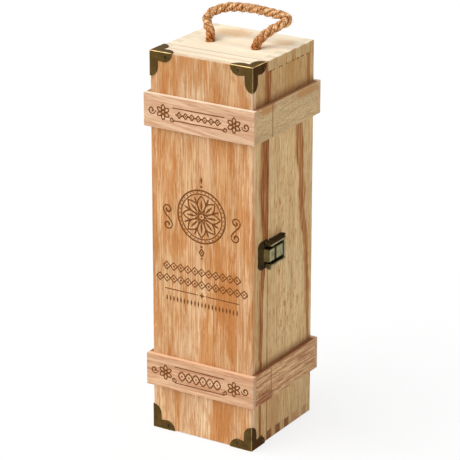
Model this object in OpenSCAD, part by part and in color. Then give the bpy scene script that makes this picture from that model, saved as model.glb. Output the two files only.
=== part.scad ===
// Upright wooden box for one wine bottle, with a hinged front lid, a rope handle and metal fittings.
// The origin is at the centre of the footprint, on the wooden underside: +X right, +Y back, +Z up.

/* [Box] */
// Outside width of the box, left to right
body_w = 102; // [98:1:140]
// Outside depth of the box, front to back
body_d = 102; // [98:1:140]
// Outside height of the box
body_h = 350; // [330:1:400]
// Thickness of the side, top and bottom boards
board_t = 9; // [7:0.5:12]
// Thickness of the front panel that covers the lid's frame
front_t = 5; // [4:0.5:7]
// Thickness of the back panel that sits between the boards
back_t = 5; // [4:0.5:8]
// Depth of the lid, from the front face to the base
lid_d = 25.5; // [25:0.5:32]
// Width of the saw cut between the lid and the base
cut_gap = 0.4; // [0.3:0.1:0.6]
// Bevel that the outer edges of the box are eased to
edge_ease = 0.5; // [0.2:0.1:0.8]

/* [Finger joints] */
// Number of fingers and sockets across the depth of the base
base_fingers = 10; // [6:2:12]
// Number of fingers and sockets across the depth of the lid's frame
lid_fingers = 3; // [3:2:5]
// Glue room across each finger
glue_gap = 0.1; // [0.05:0.05:0.2]

/* [Bands] */
// Thickness of the flat wooden bands round the box
band_t = 4.5; // [3:0.5:6]
// Height of each band
band_h = 30; // [26:1:40]
// Height of the lower band's bottom edge above the underside
band_low_z = 42; // [28:1:70]
// Drop from the top of the box to the upper band's top edge
band_top_drop = 36.5; // [28:0.5:70]
// Bevel along the edges of the bands
band_ease = 0.4; // [0.2:0.1:0.8]

/* [Corner guards] */
// Thickness of the guards' sheet metal
guard_t = 0.6; // [0.4:0.1:1]
// Length of each arm of a guard, from the corner
guard_len = 22; // [20:0.5:24]
// Width of each arm of a guard
guard_arm = 7.6; // [6:0.2:9]
// Length of the rounded end of each arm
guard_round = 8.5; // [6:0.5:8.5]
// How far the nailed arms swell out behind their rounded ends
guard_lobe = 0.8; // [0:0.1:1.2]
// Distance of the front nails from the side of the box
guard_nail_x = 15; // [11:0.5:17]
// Distance of the side nails from the front of the box
guard_nail_y = 17; // [11:0.5:18]
// Distance of the guards' nails from the top or the underside
guard_nail_z = 4; // [3:0.5:5]

/* [Nails] */
// Radius of the nails' shanks
nail_r = 0.6; // [0.4:0.1:0.8]
// Length of the nails under the head
nail_len = 7; // [6:0.5:7.5]
// Height of the nails' domed heads
nail_head_h = 0.6; // [0.4:0.1:0.9]
// Radius of the heads on the guards and hinges
nail_head_r = 1.6; // [1.2:0.1:2]
// Radius of the heads on the latch
small_head_r = 1; // [0.9:0.05:1.1]
// Radial room round a nail in its hole
nail_fit = 0.06; // [0.03:0.01:0.1]

/* [Rope handle] */
// Diameter of the rope
rope_d = 8; // [6:0.5:9]
// Spacing of the two rope holes in the top board
rope_span = 46; // [40:1:50]
// Place of the rope holes behind the middle of the box
rope_y = 0; // [-6:1:10]
// Radial room round the rope in its holes
rope_fit = 0.4; // [0.2:0.1:0.8]
// Diameter of the knots under the top board
knot_d = 19; // [16:1:22]
// Height of the knots
knot_h = 17; // [14:1:20]

/* [Latch] */
// Height of the middle of the latch above the underside
latch_z = 178.5; // [140:0.5:220]
// Thickness of the latch's plates
latch_t = 1; // [0.8:0.1:1.2]
// Width of the catch plate on the lid
catch_w = 15.2; // [14.6:0.2:16]
// Height of the catch plate
catch_h = 25.5; // [24:0.5:28]
// Corner radius of the catch plate's front corners
catch_round = 5; // [3:0.5:6]
// Distance of the catch plate's rear edge from the lid's rear edge
catch_edge = 0.3; // [0.2:0.1:0.6]
// Width of the raised block on the catch plate
catch_block_w = 9.2; // [8:0.2:9.4]
// How far that block stands out behind the lid's rear edge
catch_over = 1.8; // [1:0.1:2]
// Height of both raised blocks
block_h = 11.6; // [9:0.2:11.6]
// Distance of the raised blocks' faces from the wood
block_top = 6.5; // [5:0.1:7]
// Distance of the hinge plate's front edge from the base's front edge
plate_edge = 2.4; // [2.2:0.1:3]
// Width of the hinge plate on the base
plate_w = 21; // [20.8:0.1:21.4]
// Height of the hinge plate
plate_h = 23; // [23:0.5:26]
// Distance of the rear raised block from the base's front edge
stop_edge = 3.8; // [3.6:0.1:4.4]
// Width of the rear raised block
stop_w = 11.8; // [10:0.2:12]
// Distance of the hasp's pin from the base's front edge
hasp_pin_y = 21.4; // [21.4:0.1:21.8]
// Radius of the hasp's pin
hasp_pin_r = 0.8; // [0.6:0.05:0.9]
// Radius of the hasp's knuckle and of the ears that hold its pin
hasp_knuckle_r = 2; // [1.8:0.1:2.1]
// Length of the hasp's knuckle
hasp_knuckle_l = 17.2; // [16:0.2:17.4]
// Thickness of the ears that hold the hasp's pin
ear_t = 2.4; // [2:0.1:2.6]
// Height of the hasp's window, between its two arms
window_h = 16.4; // [16.2:0.1:17]
// Height of each arm of the hasp
hasp_arm_h = 3.2; // [2.4:0.1:3.4]
// Height of the narrow outer face of each arm, beside the face that slopes to the wood
hasp_face_h = 1.7; // [1:0.1:2.2]
// Distance of the arms' outer faces from the wood
hasp_top = 7.2; // [5.6:0.1:7.4]
// How far the arms reach over the lid, from the base's front edge
hasp_reach = 5.5; // [4:0.5:6]
// Thickness of the bar that joins the arms
hasp_bar = 2.4; // [2:0.1:2.6]
// Height of the thumb nub under the lower arm
nub_h = 1.8; // [1:0.1:2.5]
// Gap between the hasp and the plates under it
hasp_gap = 0.3; // [0.25:0.05:0.4]

/* [Hinges] */
// Height of each hinge
hinge_h = 24; // [18:1:26]
// Width of each hinge leaf from the pin's axis
leaf_w = 14; // [12:0.5:18]
// Thickness of the hinge leaves
leaf_t = 0.8; // [0.6:0.1:1]
// Radius of the hinge knuckles
knuckle_r = 1.8; // [1.6:0.1:2.2]
// Radius of the hinge pins
hinge_pin_r = 1; // [0.8:0.1:1.1]
// Gap between the hinge knuckles and the bands
knuckle_gap = 0.15; // [0.1:0.05:0.3]
// End gap between neighbouring knuckles
knuckle_end_gap = 0.2; // [0.1:0.05:0.3]
// Radial running room round the hinge pins and the hasp's pin
pin_fit = 0.05; // [0.03:0.01:0.08]
// Thickness of the pins' riveted ends
rivet_t = 0.5; // [0.3:0.1:0.8]
// How far the pins' riveted ends stand out round the pin
rivet_rim = 0.5; // [0.3:0.1:0.6]

/* [Hidden] */

// Colours as they look in daylight
pine = [0.87, 0.68, 0.46];
pale_pine = [0.95, 0.86, 0.70];
band_pine = [0.86, 0.68, 0.52];
bronze = [0.33, 0.27, 0.16];
worn_bronze = [0.62, 0.58, 0.42];
jute = [0.80, 0.58, 0.36];

// Faces of the box
side_x = body_w / 2;
front_y = -body_d / 2;
back_y = body_d / 2;
base_y = front_y + lid_d;
lid_y = base_y - cut_gap;
frame_y = front_y + front_t;
inner_x = side_x - board_t;
ceiling_z = body_h - board_t;
band_x = side_x + band_t;
band_up_z = body_h - band_top_drop - band_h;
overcut = 1;

// Hinge and hasp axes
hinge_x = -(band_x + knuckle_gap + knuckle_r);
hinge_y = base_y - cut_gap / 2;
hinge_mid_up = band_up_z + band_h / 2;
hinge_mid_low = band_low_z + band_h / 2;
hasp_x = side_x + latch_t + hasp_gap + hasp_knuckle_r;
hasp_y = base_y + hasp_pin_y;
window_half = window_h / 2;
arm_outer = window_half + hasp_arm_h;

// Rounded outlines of the sheet metal
corner_steps = 8;
lobe_turn = 105;
small_round = 1.5;
tight_round = 0.8;
block_ease = 0.5;

// Small parts of the hasp and the hinges
hasp_ease = 0.4;
hasp_rear_gap = 0.5;
hasp_low = latch_t + hasp_gap;
hasp_rear_y = hasp_y - hasp_knuckle_r - hasp_rear_gap;
hasp_tip_y = base_y - hasp_reach;
nub_in = 1;
nub_w = 2;
knuckle_room = 0.3;

// Facets of the round parts
pin_facets = 32;
nail_facets = 24;
knot_facets = 40;
hole_facets = 48;

// Nails and their places
nail_dome_turn = 70;
nail_dome_steps = 4;
nail_dimple_r = 0.45;
nail_dimple_h = 0.25;
nail_point_h = 1.4;
leaf_nail_in = 4.5;
leaf_nail_z = 8;
catch_nail_y = 8.6;
catch_nail_z = 9;
plate_nail_y = 9;
plate_nail_z = 6.85;

// Points of the rope's middle line: across, back, and up from the top of the box
rope_points = [
    [-23.5, 1.5, 4.2], [-25, 4, 6.2], [-28, 7, 8.5], [-31.5, 10, 11.2], [-34.5, 13.2, 14.6],
    [-34, 16.3, 18.2], [-30.5, 19, 21.2], [-25, 21.3, 23.6], [-18, 23, 25.5], [-9, 24, 26.5],
    [0, 24.5, 27], [9.5, 24.5, 27], [19, 24, 26.5], [28.5, 23.5, 26], [36, 23, 25.4],
    [41, 22, 24.2], [41.8, 19.6, 21.8], [38, 17.2, 19.3], [32.6, 14.4, 16], [28.4, 11.3, 12.6],
    [25.2, 8, 9.4], [23.7, 4.5, 6.6], [23.2, 1.5, 4.2]
];
rope_straight = 2;
rope_sides = 12;
knot_neck = 1.6;

function arc(cx, cy, rx, ry, from, to, steps) =
    [for (i = [0 : steps]) let (a = from + (to - from) * i / steps) [cx + rx * cos(a), cy + ry * sin(a)]];

// A plain block between two corners
module block(low, high) {
    translate(low)
        cube(high - low);
}

module bevelled_rectangle(a, b, bevel) {
    polygon([
        [bevel, 0], [a - bevel, 0], [a, bevel], [a, b - bevel],
        [a - bevel, b], [bevel, b], [0, b - bevel], [0, bevel]
    ]);
}

// A block between two corners with all its edges bevelled
module eased_block(low, high, bevel) {
    size = high - low;
    translate(low)
        intersection() {
            linear_extrude(size.z)
                bevelled_rectangle(size.x, size.y, bevel);
            translate([0, size.y, 0])
                rotate([90, 0, 0])
                    linear_extrude(size.y)
                        bevelled_rectangle(size.x, size.z, bevel);
            rotate([90, 0, 90])
                linear_extrude(size.x)
                    bevelled_rectangle(size.y, size.z, bevel);
        }
}

// The whole box as one block: every board is trimmed to it, so the outer edges run on from board to board
module box_outline() {
    eased_block([-side_x, front_y, 0], [side_x, back_y, body_h], edge_ease);
}

// Fingers of a top or bottom board: every second one is cut, starting with number first
module fingers(from_y, to_y, count, first, room) {
    pitch = (to_y - from_y) / count;
    for (i = [first : 2 : count - 1])
        translate([0, from_y + i * pitch + (i == 0 ? 0 : room / 2), 0])
            cube([board_t, pitch - (i == 0 || i == count - 1 ? room / 2 : room), board_t]);
}

// A top or bottom board with fingers at both ends, standing on height z
module fingered_board(z, from_y, to_y, count, first) {
    intersection() {
        union() {
            block([-inner_x, from_y, z], [inner_x, to_y, z + board_t]);
            for (side = [0, 1])
                mirror([side, 0, 0])
                    translate([inner_x, 0, z])
                        fingers(from_y, to_y, count, first, glue_gap);
        }
        box_outline();
    }
}

// A right side board, with sockets for the fingers at its top and bottom
module socketed_side(from_y, to_y, count, first) {
    pitch = (to_y - from_y) / count;
    intersection() {
        difference() {
            block([inner_x, from_y, 0], [side_x, to_y, body_h]);
            for (z = [-overcut, ceiling_z])
                for (i = [first : 2 : count - 1])
                    translate([
                        inner_x - overcut,
                        from_y + i * pitch - (i == 0 ? overcut : 0),
                        z
                    ])
                        cube([
                            board_t + 2 * overcut,
                            pitch + (i == 0 || i == count - 1 ? overcut : 0),
                            board_t + overcut
                        ]);
        }
        box_outline();
    }
}

// Nail with a domed and dimpled head, pointing down from the plane that its head rests on
module nail(head_r) {
    rotate_extrude($fn = nail_facets)
        polygon(concat(
            [[0, -nail_len], [nail_r, nail_point_h - nail_len], [nail_r, 0]],
            arc(0, 0, head_r, nail_head_h, 0, nail_dome_turn, nail_dome_steps),
            [[nail_dimple_r, nail_head_h], [0, nail_head_h - nail_dimple_h]]
        ));
}

module nail_hole() {
    translate([0, 0, -nail_len - overcut / 2])
        cylinder(r = nail_r + nail_fit, h = nail_len + overcut, $fn = nail_facets);
}

// Puts a nail or its hole on the front, at this distance outside the wood
module on_front(x, z, out) {
    translate([x, front_y - out, z])
        rotate([90, 0, 0])
            children();
}

// Puts a nail or its hole on a side: 1 is the right side and -1 the left one
module on_side(side, y, z, out) {
    translate([side * (side_x + out), y, z])
        rotate([0, side * 90, 0])
            children();
}

module at_guard_nails() {
    for (side = [-1, 1])
        for (z = [guard_nail_z, body_h - guard_nail_z]) {
            on_front(side * (side_x - guard_nail_x), z, guard_t)
                children();
            on_side(side, front_y + guard_nail_y, z, guard_t)
                children();
        }
}

module at_catch_nails() {
    for (z = [-catch_nail_z, catch_nail_z])
        on_side(1, lid_y - catch_nail_y, latch_z + z, latch_t)
            children();
}

module at_plate_nails() {
    for (z = [-plate_nail_z, plate_nail_z])
        on_side(1, base_y + plate_nail_y, latch_z + z, latch_t)
            children();
}

// The nails of the hinge leaves: -1 is the lid's leaves and 1 the base's
module at_leaf_nails(leaf) {
    for (mid = [hinge_mid_low, hinge_mid_up])
        for (z = [-leaf_nail_z, leaf_nail_z])
            on_side(-1, hinge_y + leaf * (leaf_w - leaf_nail_in), mid + z, band_t + leaf_t)
                children();
}

module lid_nail_holes() {
    at_guard_nails()
        nail_hole();
    at_catch_nails()
        nail_hole();
    at_leaf_nails(-1)
        nail_hole();
}

module base_nail_holes() {
    at_plate_nails()
        nail_hole();
    at_leaf_nails(1)
        nail_hole();
}

// Base: a box without a front
module base_back_panel() {
    color(pine)
        intersection() {
            block([-inner_x, back_y - back_t, board_t], [inner_x, back_y, ceiling_z]);
            box_outline();
        }
}

module base_right_side() {
    color(pine)
        difference() {
            socketed_side(base_y, back_y, base_fingers, 0);
            base_nail_holes();
        }
}

module base_left_side() {
    color(pine)
        difference() {
            mirror([1, 0, 0])
                socketed_side(base_y, back_y, base_fingers, 0);
            base_nail_holes();
        }
}

module base_top_board() {
    color(pale_pine)
        difference() {
            fingered_board(ceiling_z, base_y, back_y, base_fingers, 0);
            for (x = [-rope_span / 2, rope_span / 2])
                translate([x, rope_y, ceiling_z - overcut])
                    cylinder(r = rope_d / 2 + rope_fit, h = board_t + 2 * overcut, $fn = hole_facets);
        }
}

module base_bottom_board() {
    color(pine)
        fingered_board(0, base_y, back_y, base_fingers, 0);
}

// Lid: a shallow frame behind a front panel
module lid_front_panel() {
    color(pine)
        difference() {
            intersection() {
                block([-side_x, front_y, 0], [side_x, frame_y, body_h]);
                box_outline();
            }
            lid_nail_holes();
        }
}

module lid_right_side() {
    color(pine)
        difference() {
            socketed_side(frame_y, lid_y, lid_fingers, 1);
            lid_nail_holes();
        }
}

module lid_left_side() {
    color(pine)
        difference() {
            mirror([1, 0, 0])
                socketed_side(frame_y, lid_y, lid_fingers, 1);
            lid_nail_holes();
        }
}

module lid_top_strip() {
    color(pale_pine)
        difference() {
            fingered_board(ceiling_z, frame_y, lid_y, lid_fingers, 1);
            lid_nail_holes();
        }
}

module lid_bottom_strip() {
    color(pine)
        difference() {
            fingered_board(0, frame_y, lid_y, lid_fingers, 1);
            lid_nail_holes();
        }
}

// Bands: the front and back strips are as wide as the box and its side strips together
module band_cross(z, near_y) {
    color(band_pine)
        eased_block([-band_x, near_y, z], [band_x, near_y + band_t, z + band_h], band_ease);
}

// A band's strip along one side: 1 is the right side and -1 the left one
module band_side(side, z, from_y, to_y) {
    near = side > 0 ? side_x : -band_x;
    color(band_pine)
        difference() {
            eased_block([near, from_y, z], [near + band_t, to_y, z + band_h], band_ease);
            if (side < 0 && to_y < hinge_y)
                lid_nail_holes();
            if (side < 0 && to_y > hinge_y)
                base_nail_holes();
        }
}

module base_upper_band_left() {
    band_side(-1, band_up_z, base_y, back_y);
}

module base_upper_band_right() {
    band_side(1, band_up_z, base_y, back_y);
}

module base_upper_band_back() {
    band_cross(band_up_z, back_y);
}

module base_lower_band_left() {
    band_side(-1, band_low_z, base_y, back_y);
}

module base_lower_band_right() {
    band_side(1, band_low_z, base_y, back_y);
}

module base_lower_band_back() {
    band_cross(band_low_z, back_y);
}

module lid_upper_band_left() {
    band_side(-1, band_up_z, front_y, lid_y);
}

module lid_upper_band_right() {
    band_side(1, band_up_z, front_y, lid_y);
}

module lid_upper_band_front() {
    band_cross(band_up_z, front_y - band_t);
}

module lid_lower_band_left() {
    band_side(-1, band_low_z, front_y, lid_y);
}

module lid_lower_band_right() {
    band_side(1, band_low_z, front_y, lid_y);
}

module lid_lower_band_front() {
    band_cross(band_low_z, front_y - band_t);
}

// One leaf of a corner guard: an angle with rounded ends, folded along its two outer edges.
// The first arm is nailed and has a lobe. The second one has a lobe only where it is told so.
module guard_outline(second_lobed) {
    straight = guard_len - guard_round;
    second_arm = guard_arm + (second_lobed ? guard_lobe : 0);
    polygon(concat(
        [[-guard_t, -guard_t], [guard_len, -guard_t]],
        arc(straight, 0, guard_round, guard_arm + guard_lobe, 0, lobe_turn, corner_steps),
        [[guard_arm, guard_arm]],
        arc(0, straight, second_arm, guard_round, second_lobed ? 90 - lobe_turn : 0, 90, corner_steps),
        [[-guard_t, guard_len]]
    ));
}

// A guard round the corner at the origin, with the wood on the positive side of all three axes
module guard_corner() {
    rotate([90, 0, 0])
        linear_extrude(guard_t)
            guard_outline(false);
    translate([-guard_t, 0, 0])
        rotate([90, 0, 90])
            linear_extrude(guard_t)
                guard_outline(false);
    translate([0, 0, -guard_t])
        linear_extrude(guard_t)
            guard_outline(true);
}

// The guard of one front corner: side is -1 on the left, and top says which end of the box
module guard(side, top) {
    color(bronze)
        difference() {
            translate([side * side_x, front_y, top ? body_h : 0])
                mirror([side > 0 ? 1 : 0, 0, 0])
                    mirror([0, 0, top ? 1 : 0])
                        guard_corner();
            at_guard_nails()
                nail_hole();
        }
}

module guard_top_left() {
    guard(-1, true);
}

module guard_top_right() {
    guard(1, true);
}

module guard_bottom_left() {
    guard(-1, false);
}

module guard_bottom_right() {
    guard(1, false);
}

module guard_nails() {
    color(bronze)
        at_guard_nails()
            nail(nail_head_r);
}

// Rope handle: one round tube from knot to knot through the two holes
rope_end_x = rope_span / 2;
rope_path = concat(
    [[-rope_end_x, rope_y, ceiling_z], [-rope_end_x, rope_y, body_h + rope_straight]],
    [for (p = rope_points) [p.x, p.y, p.z + body_h]],
    [[rope_end_x, rope_y, body_h + rope_straight], [rope_end_x, rope_y, ceiling_z]]
);
rope_last = len(rope_path) - 1;

function unit(v) = v / norm(v);

// Direction of the rope at one of its points
function rope_way(i) =
    i == 0 || i == 1 ? [0, 0, 1]
    : i >= rope_last - 1 ? [0, 0, -1]
    : unit(unit(rope_path[i + 1] - rope_path[i]) + unit(rope_path[i] - rope_path[i - 1]));

// A direction square to the rope, carried on from point to point so that the tube doesn't twist
function rope_frames(i, side) =
    let (way = rope_way(i), square = unit(side - (side * way) * way))
    i == rope_last ? [square] : concat([square], rope_frames(i + 1, square));

rope_sideways = rope_frames(0, [0, 1, 0]);

rope_rings = [
    for (i = [0 : rope_last])
        let (u = rope_sideways[i], v = cross(rope_way(i), u))
        for (k = [0 : rope_sides - 1])
            let (a = 360 * k / rope_sides)
            rope_path[i] + rope_d / 2 * (cos(a) * u + sin(a) * v)
];

rope_faces = concat(
    [[for (k = [0 : rope_sides - 1]) k]],
    [
        for (i = [0 : rope_last - 1])
            for (k = [0 : rope_sides - 1])
                let (
                    a = i * rope_sides + k,
                    b = i * rope_sides + (k + 1) % rope_sides,
                    c = b + rope_sides,
                    d = a + rope_sides
                )
                each [[a, d, b], [b, d, c]]
    ],
    [[for (k = [rope_sides - 1 : -1 : 0]) rope_last * rope_sides + k]]
);

module rope_handle() {
    color(jute)
        polyhedron(points = rope_rings, faces = rope_faces, convexity = 6);
}

// A knot drawn up against the underside of the top board
module rope_knot(side) {
    neck = rope_d / 2 + rope_fit + knot_neck;
    color(jute)
        translate([side * rope_end_x, rope_y, ceiling_z - knot_h])
            rotate_extrude($fn = knot_facets)
                polygon(concat(
                    [[0, 0]],
                    arc(neck, knot_h / 2, knot_d / 2 - neck, knot_h / 2, -90, 90, corner_steps),
                    [[0, knot_h]]
                ));
}

module rope_knot_left() {
    rope_knot(-1);
}

module rope_knot_right() {
    rope_knot(1);
}

// Lays an outline in Y and Z against the right side at the latch, from one height above the wood to another
module latch_layer(from, to) {
    translate([side_x + from, 0, latch_z])
        rotate([90, 0, 90])
            linear_extrude(to - from)
                children();
}

// A raised block on a latch plate, with eased edges
module latch_block(from_y, width) {
    sink = latch_t / 2;
    eased_block(
        [side_x + sink, from_y, latch_z - block_h / 2],
        [side_x + block_top, from_y + width, latch_z + block_h / 2],
        block_ease
    );
}

// An outline with rounded corners: radius near at the smaller Y and far at the larger
module latch_outline(from_y, width, height, near, far) {
    half = height / 2;
    to_y = from_y + width;
    polygon(concat(
        arc(to_y - far, half - far, far, far, 0, 90, corner_steps),
        arc(from_y + near, half - near, near, near, 90, 180, corner_steps),
        arc(from_y + near, near - half, near, near, 180, 270, corner_steps),
        arc(to_y - far, far - half, far, far, 270, 360, corner_steps)
    ));
}

module latch_catch_plate() {
    color(bronze)
        difference() {
            union() {
                latch_layer(0, latch_t)
                    latch_outline(lid_y - catch_edge - catch_w, catch_w, catch_h, catch_round, tight_round);
                latch_block(lid_y + catch_over - catch_block_w, catch_block_w);
            }
            at_catch_nails()
                nail_hole();
        }
}

module latch_catch_nails() {
    color(bronze)
        at_catch_nails()
            nail(small_head_r);
}

// An upright cylinder on the hasp's pin axis, between two heights from the middle of the latch
module on_hasp_axis(from, to, radius) {
    translate([hasp_x, hasp_y, latch_z + from])
        cylinder(r = radius, h = to - from, $fn = pin_facets);
}

module latch_hinge_plate() {
    ear_in = hasp_knuckle_l / 2 + hasp_gap;
    color(bronze)
        difference() {
            union() {
                latch_layer(0, latch_t)
                    latch_outline(base_y + plate_edge, plate_w, plate_h, tight_round, small_round);
                latch_block(base_y + stop_edge, stop_w);
                for (low = [ear_in, -ear_in - ear_t]) {
                    on_hasp_axis(low, low + ear_t, hasp_knuckle_r);
                    block(
                        [side_x + latch_t / 2, hasp_y - hasp_knuckle_r, latch_z + low],
                        [hasp_x, hasp_y + hasp_knuckle_r, latch_z + low + ear_t]
                    );
                }
            }
            on_hasp_axis(-plate_h, plate_h, hasp_pin_r + pin_fit);
            at_plate_nails()
                nail_hole();
        }
}

module latch_hinge_nails() {
    color(bronze)
        at_plate_nails()
            nail(small_head_r);
}

// One arm of the hasp, above the window or below it, with a face that slopes towards the wood
module hasp_arm(side) {
    translate([side_x, hasp_rear_y, latch_z])
        rotate([90, 0, 0])
            linear_extrude(hasp_rear_y - hasp_tip_y)
                polygon([
                    for (p = [
                        [hasp_low, window_half],
                        [hasp_top - hasp_ease, window_half],
                        [hasp_top, window_half + hasp_ease],
                        [hasp_top, window_half + hasp_face_h],
                        [hasp_low + hasp_ease, arm_outer],
                        [hasp_low, arm_outer - hasp_ease]
                    ])
                    [p.x, side * p.y]
                ]);
}

// Stirrup of the latch: two arms and a bar, swinging on a pin at the rear
module latch_hasp() {
    knuckle_half = hasp_knuckle_l / 2;
    bar_half = window_half + hasp_ease;
    nub_y = hasp_tip_y + hasp_ease;
    color(worn_bronze)
        difference() {
            union() {
                for (side = [-1, 1])
                    hasp_arm(side);
                block(
                    [side_x + hasp_low + hasp_ease, hasp_rear_y - hasp_bar, latch_z - bar_half],
                    [side_x + hasp_top - hasp_ease, hasp_rear_y, latch_z + bar_half]
                );
                block(
                    [hasp_x - hasp_knuckle_r / 2, hasp_rear_y - hasp_rear_gap, latch_z - knuckle_half],
                    [hasp_x + hasp_knuckle_r, hasp_y, latch_z + knuckle_half]
                );
                on_hasp_axis(-knuckle_half, knuckle_half, hasp_knuckle_r);
                block(
                    [side_x + hasp_low + nub_in, nub_y, latch_z - arm_outer - nub_h],
                    [side_x + hasp_top - nub_in, nub_y + nub_w, latch_z - window_half - hasp_ease]
                );
            }
            on_hasp_axis(-plate_h, plate_h, hasp_pin_r + pin_fit);
        }
}

// A pin with riveted ends, along Z from the origin both ways
module riveted_pin(radius, length) {
    cylinder(r = radius, h = length, center = true, $fn = pin_facets);
    for (end = [-1, 1])
        translate([0, 0, end * (length + rivet_t) / 2])
            cylinder(r = radius + rivet_rim, h = rivet_t, center = true, $fn = pin_facets);
}

module latch_pin() {
    color(bronze)
        translate([hasp_x, hasp_y, latch_z])
            riveted_pin(hasp_pin_r, hasp_knuckle_l + 2 * (hasp_gap + ear_t));
}

// One leaf of a hinge: leaf is -1 for the lid's, with the middle knuckle, and 1 for the base's
module hinge_leaf(leaf, mid) {
    third = hinge_h / 3;
    half = hinge_h / 2;
    clear = knuckle_r + knuckle_room;
    plate_y = leaf < 0 ? hinge_y - leaf_w : hinge_y;
    color(bronze)
        difference() {
            union() {
                difference() {
                    translate([-band_x - leaf_t, 0, mid])
                        rotate([90, 0, 90])
                            linear_extrude(leaf_t)
                                latch_outline(plate_y, leaf_w, hinge_h, small_round, small_round);
                    for (z = leaf < 0 ? [-half - overcut, half - third] : [half - 2 * third])
                        translate([-band_x - leaf_t - overcut, hinge_y - clear, mid + z - knuckle_end_gap / 2])
                            cube([
                                leaf_t + 2 * overcut,
                                2 * clear,
                                third + knuckle_end_gap + (leaf < 0 ? overcut : 0)
                            ]);
                }
                for (i = leaf < 0 ? [1] : [0, 2]) {
                    low = i * third - half + (i == 0 ? 0 : knuckle_end_gap / 2);
                    high = (i + 1) * third - half - (i == 2 ? 0 : knuckle_end_gap / 2);
                    translate([hinge_x, hinge_y, mid + low])
                        cylinder(r = knuckle_r, h = high - low, $fn = pin_facets);
                }
            }
            translate([hinge_x, hinge_y, mid])
                cylinder(r = hinge_pin_r + pin_fit, h = 2 * hinge_h, center = true, $fn = pin_facets);
            at_leaf_nails(leaf)
                nail_hole();
        }
}

module upper_hinge_lid_leaf() {
    hinge_leaf(-1, hinge_mid_up);
}

module upper_hinge_base_leaf() {
    hinge_leaf(1, hinge_mid_up);
}

module lower_hinge_lid_leaf() {
    hinge_leaf(-1, hinge_mid_low);
}

module lower_hinge_base_leaf() {
    hinge_leaf(1, hinge_mid_low);
}

module hinge_pin(mid) {
    color(bronze)
        translate([hinge_x, hinge_y, mid])
            riveted_pin(hinge_pin_r, hinge_h);
}

module upper_hinge_pin() {
    hinge_pin(hinge_mid_up);
}

module lower_hinge_pin() {
    hinge_pin(hinge_mid_low);
}

module hinge_lid_nails() {
    color(bronze)
        at_leaf_nails(-1)
            nail(nail_head_r);
}

module hinge_base_nails() {
    color(bronze)
        at_leaf_nails(1)
            nail(nail_head_r);
}

base_back_panel();
base_left_side();
base_right_side();
base_top_board();
base_bottom_board();
base_upper_band_left();
base_upper_band_right();
base_upper_band_back();
base_lower_band_left();
base_lower_band_right();
base_lower_band_back();
lid_front_panel();
lid_left_side();
lid_right_side();
lid_top_strip();
lid_bottom_strip();
lid_upper_band_left();
lid_upper_band_right();
lid_upper_band_front();
lid_lower_band_left();
lid_lower_band_right();
lid_lower_band_front();
guard_top_left();
guard_top_right();
guard_bottom_left();
guard_bottom_right();
guard_nails();
rope_handle();
rope_knot_left();
rope_knot_right();
latch_catch_plate();
latch_catch_nails();
latch_hinge_plate();
latch_hinge_nails();
latch_hasp();
latch_pin();
upper_hinge_lid_leaf();
upper_hinge_base_leaf();
upper_hinge_pin();
lower_hinge_lid_leaf();
lower_hinge_base_leaf();
lower_hinge_pin();
hinge_lid_nails();
hinge_base_nails();
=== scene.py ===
import math

import bmesh
import bpy
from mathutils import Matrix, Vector


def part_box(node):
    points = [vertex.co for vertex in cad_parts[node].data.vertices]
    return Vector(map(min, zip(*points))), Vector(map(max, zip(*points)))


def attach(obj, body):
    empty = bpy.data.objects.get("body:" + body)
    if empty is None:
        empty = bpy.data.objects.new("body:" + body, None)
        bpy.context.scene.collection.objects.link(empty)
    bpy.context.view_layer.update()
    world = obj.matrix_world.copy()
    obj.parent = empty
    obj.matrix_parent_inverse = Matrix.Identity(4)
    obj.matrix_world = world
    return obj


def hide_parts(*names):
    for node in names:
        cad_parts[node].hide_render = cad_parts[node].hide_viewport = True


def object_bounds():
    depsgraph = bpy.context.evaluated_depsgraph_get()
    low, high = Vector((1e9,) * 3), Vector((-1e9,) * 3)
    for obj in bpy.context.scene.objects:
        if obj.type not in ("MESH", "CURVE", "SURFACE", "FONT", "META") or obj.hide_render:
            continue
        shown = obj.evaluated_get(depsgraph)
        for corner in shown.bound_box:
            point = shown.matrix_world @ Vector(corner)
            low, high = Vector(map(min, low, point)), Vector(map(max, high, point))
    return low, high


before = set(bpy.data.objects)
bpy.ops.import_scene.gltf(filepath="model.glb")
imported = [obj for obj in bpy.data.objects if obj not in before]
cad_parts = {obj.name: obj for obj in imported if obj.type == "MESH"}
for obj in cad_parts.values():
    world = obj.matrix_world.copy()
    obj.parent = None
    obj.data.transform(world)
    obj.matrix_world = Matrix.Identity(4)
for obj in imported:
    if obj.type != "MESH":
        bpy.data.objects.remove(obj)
cad_low, cad_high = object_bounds()

# Looks of the wooden bottle box: pale woods, burnt ornament, aged bronze and jute rope

MM = 0.001

# Places on the box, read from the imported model, in metres
panel_low, panel_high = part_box("lid_front_panel")
base_side_low, base_side_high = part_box("base_right_side")
band_low, band_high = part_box("lid_upper_band_front")
SIDE_X = panel_high.x
FRONT_Y = panel_low.y
SPLIT_Y = base_side_low.y
TOP_Z = panel_high.z
CEILING_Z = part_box("base_top_board")[0].z
KNOT_LOW_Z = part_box("rope_knot_left")[0].z
BAND_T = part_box("base_upper_band_back")[1].y - base_side_high.y
BAND_H = band_high.z - band_low.z
UPPER_BAND_Z = (band_low.z + band_high.z) / 2
LOWER_BAND_Z = sum(corner.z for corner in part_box("lid_lower_band_front")) / 2
SHEET_T = -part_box("guard_bottom_left")[0].z

# Camera of the photograph, in degrees, metres and millimetres of lens and sensor
CAMERA_AZIMUTH = 31.80
CAMERA_ELEVATION = 20.36
CAMERA_DISTANCE = 2.2
CAMERA_TARGET = Vector((-0.0028, 0.0, 0.1805))
CAMERA_LENS = 195.7
CAMERA_SENSOR = 36
CAMERA_REACH = 50

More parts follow.
